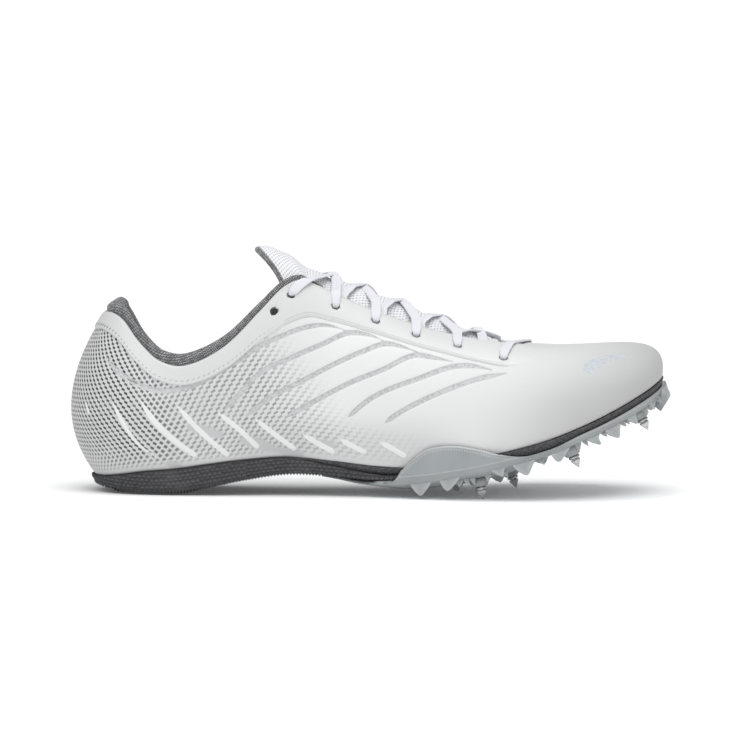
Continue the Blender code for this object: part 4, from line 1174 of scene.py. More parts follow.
def make_upper():
    """The upper's wall: rows go up its outer face, over the topline and down its inner face."""
    laps = np.arange(AROUND) * 2.0 / AROUND
    width = panel_width(laps) * MM
    panel_low = at_distance(laps, width + PANEL_RAMP[0])
    panel_high = at_distance(laps, width - PANEL_RAMP[1])
    low_shares, step_shares, high_shares = (np.linspace(0.0, 1.0, count)[:, None] for count in UPPER_ROWS)
    v = np.concatenate(
        [
            panel_low * low_shares,
            panel_low + (panel_high - panel_low) * step_shares[1:-1],
            panel_high + (1.0 - panel_high) * high_shares,
        ]
    )
    base = skin(laps, v)
    normal, _ = skin_frame(laps, v)
    ahead, height = base[..., 0] / MM, base[..., 2] / MM
    flat = np.stack([ahead, height], axis=-1)
    lengths = rib_lengths(laps)
    parts = np.linspace(0, 1, RIB_PARTS + 1)
    from_sole = np.stack([np.interp(at, parts, rib) for at, rib in zip(v.T, lengths)], axis=1) / MM
    from_top = lengths[:, -1] / MM - from_sole
    edge = width / MM - from_top
    panel = fade(-0.5, 0.5, edge)
    station = station_of(laps) + 0.0 * v
    channel_in, slash_in, seam_in, shade = drawn_shapes(flat)
    channel = fade(-0.4, 0.6, channel_in) * (1.0 - panel)
    slash = fade(-0.4, 0.5, slash_in) * (1.0 - panel)
    # The mesh: darker at the heel, and gone towards the toe
    heel = (1.0 - fade(-16.0, 20.0, ahead + 0.25 * (height - 40.0))) * fade(12.0, 24.0, height)
    reach = ahead + 0.9 * (height - 35.0) - 25.0 * fade(36.0, 28.0, height)
    holes = (1.0 - fade(66.0, 104.0, reach)) * fade(1.0, 5.0, from_sole)
    holes = holes * (0.82 + 0.18 * heel) * (1.0 - shade)
    # Slots in a row along the collar, tallest at the heel
    tall = np.interp(station, [0.0, 0.10, 0.25], [2.3, 1.8, 0.9]) / 0.7
    slots = fade(0.65, 0.45, np.abs(edge - SLOT_ROW) / tall) * fade(0.42, 0.38, station)
    slots *= 1.0 - 0.55 * fade(-27.0, -18.0, ahead)
    silver_gap, share = line_distance(flat, softened(SILVER))
    silver_in = 2.9 * (1.0 - 0.95 * share) * fade(0.0, 0.1, share + 0.05) - silver_gap
    silver_in = np.where((station > 0.7) & (laps < 1.0), silver_in, OUTSIDE)
    cloth_grey_and_shade, panel_grey = (np.interp(ahead, *np.array(GREYS)[:, [0, k]].T) for k in (1, 2))
    # Painted shade: the cloth's grey darker low on the toe, near the sole
    cloth_grey_and_shade = cloth_grey_and_shade - 0.16 * (fade(145.0, 200.0, ahead) * fade(0.75, 0.15, v))
    # Relief: the panel's step, the drawn shapes, a thin topline, a groove below the panel, eyelet rims
    lift = PANEL_STEP * (1.0 - (1.0 - panel) * fade(0.76, 0.66, station))
    lift = lift - 0.0004 * channel + 0.0002 * slash - 0.0003 * shade
    lift = lift - 0.0005 * fade(0.7, 0.0, from_top) * panel
    lift = lift - 0.0004 * np.clip(1.0 - np.abs(edge + 0.9) / 0.7, 0.0, 1.0) * fade(0.74, 0.68, station)
    lift = lift * fade(0.0, 0.004, v)
    for lap, distance in eyelet_spots():
        ring = np.linalg.norm(base - skin(lap, at_distance(lap, distance)), axis=-1) / EYELET_RADIUS
        lift = lift - 0.0003 * (1.0 - fade(1.0, 1.9, ring))
    outer = base + normal * lift[..., None]
    inner_v = np.linspace(1.0, 0.0, 22)[:, None] + 0.0 * laps
    inner = skin(laps, inner_v) - skin_frame(laps, inner_v)[0] * UPPER_WALL
    brow = 0.5 * (outer[-1] + inner[0]) + 0.0004 * skin_frame(laps, 1.0 + 0.0 * laps)[1]
    tuck_heights = [rim_floor(laps) + CLEARANCE, footprint(laps)[:, 2] + CLEARANCE]
    outer_tuck, inner_tuck = (
        [standing_ring(laps, inset + 0 * laps, height) for height in tuck_heights]
        for inset in (-TUCK, -TUCK - UPPER_WALL)
    )
    rows = np.concatenate([outer_tuck, outer, brow[None], inner, inner_tuck[::-1]])
    faces = grid_quads(len(rows), AROUND, wrap_rows=True, wrap_columns=True)

    def whole(values, before=0.0, after=0.0):
        """Marks of the outer face, with plain values for the rows before and after it."""
        head = np.full((2, *values.shape[1:]), before)
        tail = np.full((len(rows) - 2 - len(values), *values.shape[1:]), after)
        return np.concatenate([head, values, tail])

    # Cells of the mesh and of the slots, mirrored about the toe, and the run along the topline
    between = station_of(laps[:-1] + 1 / AROUND)
    girth = np.linalg.norm(np.diff(skin(laps, 0.45 + 0 * laps), axis=0), axis=1) / MM
    pitch = np.interp(between, [0.0, 0.12, 0.26, 1.0], [2.3, 2.4, 3.3, 3.5])
    around = np.concatenate([[0.0], np.cumsum(girth / pitch)])
    around = np.where(laps > 1.0, 2 * np.interp(1.0, laps, around) - around, around)
    top_run = runs_along(topline(laps)) / MM
    slot_pitch = np.interp(between, [0.0, 0.08, 0.25], [1.3, 1.4, 2.6])
    slot_run = np.concatenate([[0.0], np.cumsum(np.diff(top_run) / slot_pitch)])
    first_run, last_run = (np.interp(lap, laps, top_run) for lap in (0.42, 0.70))
    run = np.where(laps < 1.0, top_run, top_run[-1] - top_run)
    along = np.where((run > first_run) & (run < last_run), run - first_run, 0.0)
    marks = {
        "cells": whole(stack(around + 100.0, from_sole / MESH_ROW, 0.0)),
        "slot_cells": whole(stack(slot_run + 0.0 * edge, (edge - SLOT_ROW) / tall + 0.5, 0.0)),
        "shapes": whole(stack(channel_in, slash_in, silver_in), OUTSIDE, OUTSIDE),
        "band": whole(stack(along + 0.0 * edge, from_top, edge), -9.0, 9.0),
        "greys": whole(stack(cloth_grey_and_shade, panel_grey, seam_in), 0.5, 0.5),
        "holes": whole(holes),
        "heel": whole(heel),
        "shade": whole(shade),
        "slots": whole(slots),
        "inside": whole(0.0 * v, 0.0, 1.0),
    }
    piece = make_piece("upper_shell", rows, faces, upper_material(), marks)
    cut_eyelets(piece)
    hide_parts("upper")


def cut_eyelets(piece):
    """Round holes through the panel, by a Boolean whose result becomes the piece's mesh."""
    bodies = []
    turn = np.linspace(0.0, 2 * math.pi, 29)[:-1]
    for lap, distance in eyelet_spots():
        v = at_distance(lap, distance)
        middle, (normal, _) = skin(lap, v), skin_frame(lap, v)
        across = unit(np.cross(normal, [0.0, 0.0, 1.0]))
        ring = np.outer(np.cos(turn), across) + np.outer(np.sin(turn), np.cross(across, normal))
        bodies.append(loft(np.stack([middle + ring * EYELET_RADIUS + normal * d for d in (-0.004, 0.003)])))
    points, faces = joined(bodies)
    cutter = make_piece("eyelet_cutter", points, faces, piece.data.materials[0])
    boolean = piece.modifiers.new("eyelets", "BOOLEAN")
    boolean.operation = "DIFFERENCE"
    boolean.solver = "EXACT"
    boolean.object = cutter
    bpy.context.view_layer.update()
    evaluated = piece.evaluated_get(bpy.context.evaluated_depsgraph_get())
    cut = bpy.data.meshes.new_from_object(evaluated)
    piece.modifiers.clear()
    piece.data = cut
    bpy.data.objects.remove(cutter, do_unlink=True)


def make_lining():
    """The padded collar: a closed curve through eight places near the upper and eight facing the foot."""
    laps = np.linspace(-LINING_END, LINING_END, 420)
    none = 0.0 * laps
    thick, high = fat(laps), roll(laps)
    over = 0.35 + 1.3 * fade(0.22, 0.02, station_of(laps))
    # Distance below the topline, place near the upper, and place facing the foot
    rows = (
        (deep(laps), none + 0.6, none + 1.5),
        (deep(laps) * 0.5, none + 0.4, pad(laps)),
        (none + 5.0, none, pad(laps)),
        (none, none, thick * 0.95),
        (-high * 0.30, -0.9 * over, thick),
        (-high * 0.62, -1.6 * over, thick * 0.95),
        (-high * 0.90, -0.8 * over, thick * 0.74),
        (-high, thick * 0.25, thick * 0.48),
    )
    near = [np.stack([depth, inner], axis=-1) for depth, inner, _ in rows]
    far = [np.stack([depth, outer], axis=-1) for depth, _, outer in rows]
    profile = closed_curve(np.stack(near + far[::-1], axis=1), 84) * MM
    inward = UPPER_WALL + 1.5 * CLEARANCE + np.maximum(profile[..., 1], -LINING_OVERHANG)
    sections = below_topline(laps[:, None], profile[..., 0], inward)
    points, faces = loft(sections)
    along = runs_along(topline(laps))[:, None] / MM
    around = runs_along(sections) / MM
    cells = with_hubs(stack(along / 1.7 + around / 3.4, around / 1.3, 0.0))
    piece = make_piece("collar_roll", points, faces, lining_material("lining_knit"), {"cells": cells})
    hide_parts("collar_lining")


def tongue_line(station, count):
    """The tongue's outer face at one station, from its lateral edge over its crest to its medial edge."""
    depth, ahead, above = (eased(TONGUE, k)(station) * MM for k in (1, 2, 3))
    lined = 1.0 - fade(LINING_END + 0.02, LINING_END + 0.06, station)
    inward = UPPER_WALL + 0.0006 + lined * (0.0008 + fat(station) * MM) + (1.0 - lined) * 0.0011
    middle = (topline(station) + topline(2.0 - station)) / 2 + stack(ahead, 0.0, above)
    halves = []
    for lap in (station, 2.0 - station):
        low = [below_topline(lap, depth * share, inward) for share in (1.0, 0.75, 0.5, 0.25, 0.05)]
        low = np.stack(low, axis=-2)
        start = low[..., -1, :]
        up = skin_frame(lap, 1.0)[1]
        reach = start + up * 0.36 * np.linalg.norm(middle - start, axis=-1)[..., None]
        level = middle + stack(0.0, start[..., 1] - middle[..., 1], 0.0) * 0.5
        t = np.linspace(0.0, 1.0, count)[1:, None]
        start, reach, level, end = (place[..., None, :] for place in (start, reach, level, middle))
        arch = start * (1 - t) ** 3 + 3 * reach * t * (1 - t) ** 2 + 3 * level * t * t * (1 - t) + end * t**3
        halves.append(np.concatenate([low, arch], axis=-2))
    return np.concatenate([halves[0], halves[1][..., -2::-1, :]], axis=-2)


def make_tongue():
    """The tongue: its outer face, and an inner face set in by its thickness, closed round their edges."""
    stations = np.linspace(*TONGUE_STATIONS, 150)
    outer = tongue_line(stations, 24)
    normal = unit(np.cross(np.gradient(outer, axis=0), np.gradient(outer, axis=1)))
    share = np.linspace(-1.0, 1.0, outer.shape[1])
    thin = np.sqrt(np.clip(1.0 - np.abs(share) ** 8, 0.04, 1.0))
    puff = 0.0004 * np.cos(stations[:, None] * 210.0) * (1.0 - share**2)
    outer = outer - normal * puff[..., None]
    inner = outer - normal * (TONGUE_THICKNESS * thin)[None, :, None]
    sections = np.concatenate([outer, inner[:, ::-1]], axis=1)
    points, faces = loft(sections)
    along = runs_along(outer[:, outer.shape[1] // 2])[:, None] / MM
    cells = with_hubs(stack(runs_along(sections) / MM / 1.9, along / 1.6, 0.0))
    piece = make_piece("tongue_sheet", points, faces, tongue_material(), {"cells": cells})
    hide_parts("tongue")
    # Knit binding: an oval tube along the tongue's free end
    end = 0.5 * (outer[0] + inner[0])
    run = runs_along(end)
    even = np.linspace(0.0, run[-1], 90)
    path = resampled(even, run, end)
    out = resampled(even, run, normal[0])
    back = unit(np.cross(unit(np.gradient(path, axis=0)), out))
    turn = np.linspace(0.0, 2 * math.pi, 25)[:-1]
    ring = out[:, None] * (np.sin(turn) * BINDING_RADII[0])[None, :, None]
    ring = ring + back[:, None] * (np.cos(turn) * BINDING_RADII[1])[None, :, None]
    points, faces = loft(path[:, None] + ring)
    cells = with_hubs(stack(even[:, None] / 0.0015, turn * BINDING_RADII[1] / 0.0011, 0.0))
    binding = make_piece("tongue_binding", points, faces, lining_material("binding_knit"), {"cells": cells})


def slope_place(lap, height, bottom, inward):
    """A place on the slope from the sole's lower to its top edge, at a height above the lower edge."""
    share = np.clip((height - bottom) / (tall_of(lap) - bottom), 0.0, 1.0)
    return standing_ring(lap, sole_slope(share) - inward, TOE_LIFT * edge_low(lap) + height)


def hanging_rows(lateral, medial, hang, lowest, count, reach=1.0):
    """Rows across the shoe from lateral to medial places, sagging by hang in the middle."""
    share = np.linspace(-1.0, 1.0, count) * np.asarray(reach)[..., None]
    row = lateral[:, None] + (medial - lateral)[:, None] * (share[..., None] + 1) / 2
    drop = hang[:, None] * (1 - np.abs(share) ** BELLY_POWER)
    row[..., 2] = np.maximum(row[..., 2] - drop, lowest[:, None])
    return row


def closed_sections(*rows):
    """Closed sections from rows of places, each either one place or many per station."""
    return np.concatenate([row[:, None] if row.ndim == 2 else row for row in rows], axis=1)


def sole_layer(lap):
    """Room for the rubber under the foam and beside it, where the rubber is, and the rubber's thickness."""
    rubber = np.minimum(RUBBER_THICKNESS, RUBBER_SHARE * tall_of(lap))
    wrapped = station_of(lap) < RUBBER_STATIONS[1]
    layer, inset = (np.where(wrapped, thick + CLEARANCE, 0.0) for thick in (rubber, RUBBER_SIDE))
    return layer, inset, rubber


def make_midsole():
    """Foam cup: each section goes across the underside, up the medial side, round the rim and back."""
    stations = np.linspace(0.0, 1.0, 2 * SOLE_STEPS)
    halves = []
    for lap in (stations, 2.0 - stations):
        layer, inset, _ = sole_layer(lap)
        free = tall_of(lap) - layer
        shares = (0.0, 0.1, 0.25, 0.45, 0.65, 0.85, 1.0)
        climb = [slope_place(lap, layer + free * s, layer, inset) for s in shares]
        heights = (footprint(lap)[:, 2], rim_floor(lap))
        rim = [standing_ring(lap, -TUCK + CLEARANCE + 0 * lap, height) for height in heights]
        halves.append((climb, rim))
    (lateral, lateral_rim), (medial, medial_rim) = halves
    layer, _, _ = sole_layer(stations)
    under = hanging_rows(lateral[0], medial[0], belly(stations) * MM, layer, 25)
    top = hanging_rows(medial_rim[-1], lateral_rim[-1], 0 * stations, 0 * stations - 1.0, 13)
    sections = closed_sections(under, *medial[1:], medial_rim[0], top, lateral_rim[0], *lateral[:0:-1])
    piece = make_piece("midsole_foam", *loft(sections), foam_material())
    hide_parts("midsole")


def make_footbed():
    """Insole: a cushion that is slightly crowned."""
    stations = np.linspace(0.0, 1.0, SOLE_STEPS)
    inside = -TUCK - UPPER_WALL - CLEARANCE
    low, high = (
        [
            standing_ring(lap, inside + 0 * lap, rim_floor(lap) + CLEARANCE + rise)
            for lap in (stations, 2.0 - stations)
        ]
        for rise in (0.0, INSOLE_THICKNESS * 0.7)
    )
    under = hanging_rows(low[0], low[1], 0 * stations, 0 * stations - 1.0, 17)
    top = hanging_rows(high[1], high[0], -0.3 * INSOLE_THICKNESS + 0 * stations, 0 * stations - 1.0, 17)
    piece = make_piece("footbed", *loft(closed_sections(under, top)), footbed_material())
    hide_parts("insole")


def make_heel_rubber():
    """Rubber heel: a cup whose section goes under the sole and up both sides, with scales and teeth."""
    stations = np.linspace(0.0, RUBBER_STATIONS[1] - 0.004, 5 * SOLE_STEPS)
    fall = np.clip((stations - RUBBER_STATIONS[0]) / (RUBBER_STATIONS[1] - RUBBER_STATIONS[0]), 0.0, 1.0)
    outer, inner, relief_shades = [], [], []
    for lap in (stations, 2.0 - stations):
        layer, inset, rubber = sole_layer(lap)
        top = tall_of(lap) * (1 - 0.86 * fall)
        run = runs_along(footprint(lap)) / MM
        up, relief = [], []
        for share in np.linspace(0.0, 1.0, 22):
            rise = top * share / (SCALE_HEIGHT * MM)
            beside = np.mod(run / SCALE_WIDTH + 0.5 * np.mod(np.floor(rise), 2.0), 1.0) - 0.5
            scale = (1.0 - np.mod(rise, 1.0)) * (1.0 - 3.0 * beside**2)
            scale = scale * fade(0.0, 0.12, share) * fade(1.0, 0.9, share)
            place = slope_place(lap, top * share, 0.0, 0.0 * lap)
            place = place + outward(lap) * (SCALE_DEPTH * scale)[:, None] * MM
            tooth = 0.8 * TOOTH_HEIGHT * np.abs(np.mod(run / TOOTH_PITCH, 1.0) * 2 - 1)
            tooth = tooth * fade(0.16, 0.0, share)
            place[:, 2] = np.maximum(place[:, 2] - tooth * MM, 0.0)
            up.append(place)
            # The scale's height, kept for painted light on its ridge and painted shade below it
            relief.append(scale[:, None])
        down = [
            slope_place(lap, np.maximum(top * s, layer), layer, inset - CLEARANCE)
            for s in (1.0, 0.6, 0.3, 0.0)
        ]
        down[-1][:, 2] = TOE_LIFT * edge_low(lap) + rubber
        outer.append(up)
        inner.append(down)
        relief_shades.append(relief)
    hang = belly(stations) * MM
    sag = hang * (1.0 - 0.4 * fade(0.16, 0.03, stations))
    under = hanging_rows(outer[0][0], outer[1][0], sag, 0 * stations, 27)
    ridge = np.abs(np.mod(under[..., 0] / MM / TOOTH_PITCH, 1.0) * 2 - 1)
    under[..., 2] += TOOTH_HEIGHT * MM * ridge * (1 - np.abs(np.linspace(-1, 1, 27)) ** 12)
    back = hanging_rows(inner[1][-1], inner[0][-1], hang, sole_layer(stations)[2], 15)
    sections = closed_sections(
        under, *outer[1][1:], *inner[1][:-1], back, *inner[0][-2::-1], *outer[0][:0:-1]
    )
    plain = np.zeros((len(stations), 2 * (len(inner[0]) - 1) + back.shape[1]))
    # Marks for painted light and shade: the teeth under the heel, the scales up the sides, none inside
    relief = np.concatenate([1.0 - ridge, *relief_shades[1][1:], plain, *relief_shades[0][:0:-1]], axis=1)
    relief = np.append(relief.ravel(), [0.0, 0.0])
    piece = make_piece("heel_rubber", *loft(sections), rubber_material(), {"relief": relief})
    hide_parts("heel_outsole")


def plate_corner(lap, outside, depth):
    """The plate's corner under the sole's lower edge, by how far out and how deep it is."""
    place = footprint(lap) + outward(lap) * np.asarray(CLEARANCE - SOLE_UNDERCUT + outside)[..., None]
    slack = CLEARANCE + TAIL_SLACK * np.clip((0.60 - station_of(lap)) / 0.06, 0.0, 1.0)
    taper = np.clip(0.45 + 0.55 * (station_of(lap) - PLATE_REACH[0][0]) * 32 / 3, 0.45, 1.0)
    place[..., 2] = TOE_LIFT * edge_low(lap) - slack - depth * taper
    return place


def plate_place(place, share):
    """A point on the plate's lower face, with unit directions ahead along it and down out of it."""

    def at(where):
        lateral = plate_corner(where, WING_THICKNESS, PLATE_THICKNESS)
        medial = plate_corner(2.0 - where, WING_THICKNESS, PLATE_THICKNESS)
        point = lateral + (medial - lateral) * (share + 1) / 2
        point[2] -= belly(where) * MM * (1 - abs(share) ** BELLY_POWER)
        return point

    ahead = unit((at(place + 0.005) - at(place - 0.005)) * [1.0, 0.0, 1.0])
    return at(place), ahead, np.array([ahead[2], 0.0, -ahead[0]])


def boss_height(middle, down, standing):
    """Length of a boss: its pin stands on the floor, or it has the plain length."""
    return middle[2] / -down[2] - PIN_LENGTH - CLEARANCE if standing else BOSS_HEIGHT


def lug_body(middle, along, down, length, height, lean):
    """A lug like a shark's fin: five sections across its thickness, thinner towards both faces."""
    across = np.cross(along, down)
    outline = np.array(
        (
            (-0.5 * length, -ROOT),
            (0.5 * length, -ROOT),
            (0.46 * length, 0.15 * height),
            (0.30 * length + 0.3 * lean, 0.5 * height),
            (lean + 0.12 * length, 0.93 * height),
            (lean, 1.02 * height),
            (lean - 0.10 * length, 0.93 * height),
            (-0.30 * length + 0.5 * lean, 0.62 * height),
            (-0.46 * length, 0.2 * height),
        )
    )
    sections = []
    for depth, scale in ((-1.0, 0.86), (-0.8, 0.97), (0.0, 1.0), (0.8, 0.97), (1.0, 0.86)):
        half = 0.5 * LUG_THICKNESS * (1.0 - 0.45 * np.maximum(outline[:, 1], 0.0) / height)
        shape = outline * [scale, 1.0]
        shape[:, 1] *= np.where(outline[:, 1] > 0.5 * height, 0.9 + 0.1 * scale, 1.0)
        offset = across * (depth * half)[:, None]
        sections.append(middle + shape[:, :1] * along + shape[:, 1:] * down + offset)
    return loft(np.array(sections))


def turned_body(middle, axis, profile, square=0.0):
    """A turned body about an axis, squared past the pin's base: the profile holds (distance, radius)."""
    cross_x = unit(np.cross(axis, [0.0, 1.0, 0.0]))
    cross_y = np.cross(axis, cross_x)
    turn = 2 * math.pi * np.arange(32) / 32
    stretch = 0.8 / np.maximum(np.abs(np.cos(turn)), np.abs(np.sin(turn)))
    rings = []
    for along, radius in profile:
        shape = 1.0 + (stretch - 1.0) * square * (along > PIN_BASE_HEIGHT)
        ring = np.outer(np.cos(turn) * shape, cross_x) + np.outer(np.sin(turn) * shape, cross_y)
        rings.append(middle + axis * along + ring * radius)
    return loft(np.array(rings))


def make_plate():
    """Spike plate: a tray with a lip and wings, with its lugs, bosses and claw let into it."""
    stations = np.linspace(PLATE_REACH[0][0], 1.0, 2 * SOLE_STEPS)
    reach = plate_reach(stations)
    slack = CLEARANCE + WING_SLACK * np.clip((0.70 - stations) / 0.04, 0.0, 1.0)
    full = ((reach > 0.999) * fade(*WING_START, stations))[:, None]
    rise = WING_HEIGHT * eased(WING, 1)(stations)
    foot = np.minimum(RIDGE_HEIGHT, 0.8 * rise)
    heights = [foot * s for s in (0.25, 0.55, 0.85, 1.1)]
    heights += [foot + (rise - foot) * s for s in (0.3, 0.6, 0.9, 1.0)]
    ridged = [slack + WING_THICKNESS + RIDGE * bead for bead in (0.5, 1.0, 0.6, 0.0, 0.0, 0.0, 0.0, -1.0)]
    both = (stations, 2.0 - stations)
    low_out = [plate_corner(lap, WING_THICKNESS + 0 * lap, PLATE_THICKNESS) for lap in both]
    low_in = [plate_corner(lap, 0.0 * lap, 0.0) for lap in both]
    hang = belly(stations) * MM
    under = hanging_rows(low_out[0], low_out[1], hang, 0 * stations - 1.0, TRAY_ROWS, reach)
    top = hanging_rows(low_in[1], low_in[0], hang, 0 * stations - 1.0, TRAY_ROWS, reach)
    # The lips are only there where the plate reaches the sole's edge: elsewhere they shrink to its corner
    lips = []
    for lap, corner in zip(both, (under[:, 0], under[:, -1])):
        outer = [side(lap, height, out) for height, out in zip(heights, ridged)]
        inner = [side(lap, height, slack) for height in heights]
        lips.append([[corner + (row - corner) * full for row in rows] for rows in (outer, inner)])
    (lateral_outer, lateral_inner), (medial_outer, medial_inner) = lips
    tray = closed_sections(
        under, *medial_outer, *medial_inner[::-1], top, *lateral_inner, *lateral_outer[::-1]
    )
    # Marks: painted light on the lip's edge and ridge, and the dotted row's distance below the wing's edge
    clear = np.zeros(tray.shape[:2])
    below = np.full(tray.shape[:2], 9.0)
    for k, height in enumerate(heights):
        below[:, TRAY_ROWS + k] = below[:, -1 - k] = (rise - height) / MM
    for k, light in ((1, 0.8), (len(heights) - 1, 1.0)):
        clear[:, TRAY_ROWS + k] = clear[:, -1 - k] = light
    clears = [clear * full]
    bodies = [loft(tray)]
    for place, length, share, lean in EDGE_LUGS:
        for lap in (place, 2.0 - place):
            corner = plate_corner(lap, WING_THICKNESS - 0.5 * LUG_THICKNESS - 0.0003, PLATE_THICKNESS)
            forwards = LAP_STEP if lap < 1.0 else -LAP_STEP
            ahead = unit(plate_corner(lap + forwards, 0.0, 0.0) - plate_corner(lap - forwards, 0.0, 0.0))
            down = unit(ahead * ahead[2] - [0.0, 0.0, 1.0])
            bodies.append(lug_body(corner, ahead, down, length * MM, LUG_HEIGHT * share, lean * MM))
    for place, share, length in INNER_LUGS:
        middle, ahead, down = plate_place(place, share)
        bodies.append(lug_body(middle, ahead, down, length * MM, 0.55 * LUG_HEIGHT, 0.0))
    for place, length, lean in SMALL_LUGS:
        for share in (-0.86, 0.86):
            middle, ahead, down = plate_place(place, share)
            bodies.append(lug_body(middle, ahead, down, length * MM, 0.5 * LUG_HEIGHT, lean * MM))
    claw_laps = np.linspace(*CLAW_LAPS, 25)
    claw = np.array(TOE_CLAW) * MM
    ring = footprint(claw_laps)[:, None] + outward(claw_laps)[:, None] * claw[None, :, :1]
    ring[..., 2] = TOE_LIFT * edge_low(claw_laps)[:, None] + claw[None, :, 1]
    bodies.append(loft(ring))
    for place, share, standing in PINS:
        middle, _, down = plate_place(place, share)
        height = boss_height(middle, down, standing)
        profile = (
            (-ROOT, BOSS_RADIUS),
            (0.4 * height, BOSS_RADIUS),
            (0.5 * height, 0.97 * BOSS_RADIUS),
            (0.93 * height, 0.78 * BOSS_RADIUS),
            (height, 0.70 * BOSS_RADIUS),
        )
        bodies.append(turned_body(middle, down, profile))
    points, faces = joined(bodies)
    # Painted light round the lugs' rims; the claw and the bosses have none
    rim = np.repeat(LUG_EDGE_LIGHT, LUG_CORNERS)
    for body, _ in bodies[1:]:
        clears.append(rim if len(body) == len(rim) + 2 else np.zeros(len(body) - 2))
    clear = np.concatenate([np.concatenate([values.ravel(), [0.0, 0.0]]) for values in clears])
    dots = np.zeros((len(points), 3))
    dots[: below.size, 0] = tray[..., 0].ravel() / MM / DOT_PITCH
    dots[:, 1] = 9.5
    dots[: below.size, 1] = (below.ravel() - DOT_DEPTH) / DOT_PITCH + 0.5
    piece = make_piece("plate_tray", points, faces, plate_material(), {"clear": clear, "dots": dots})
    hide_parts("spike_plate")


def make_pins():
    """Spike pins: a collar, then a four-sided point with a notch near its base."""
    steel = pin_material()
    for number, (place, share, standing) in enumerate(PINS, 1):
        middle, _, down = plate_place(place, share)
        height = boss_height(middle, down, standing)
        base = middle + down * (height + CLEARANCE)
        points, faces = turned_body(base, down, PIN_PROFILE, square=1.0)
        points[:, 2] = np.maximum(points[:, 2], 0.0)
        piece = make_piece(f"spike_{number}", points, faces, steel)
        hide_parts(f"pin_{number}")


def eyelet(number, side_name):
    """Middle of an eyelet on the outer face, and the unit direction out of it."""
    lap, distance = eyelet_spot(number, side_name)
    v = at_distance(lap, distance)
    normal, _ = skin_frame(lap, v)
    return skin(lap, v) + normal * PANEL_STEP, normal


def smooth_ends_held(values, rounds):
    """Evens out a row of values in place, and leaves its two ends where they are."""
    for _ in range(rounds):
        values[1:-1] = 0.25 * values[:-2] + 0.5 * values[1:-1] + 0.25 * values[2:]


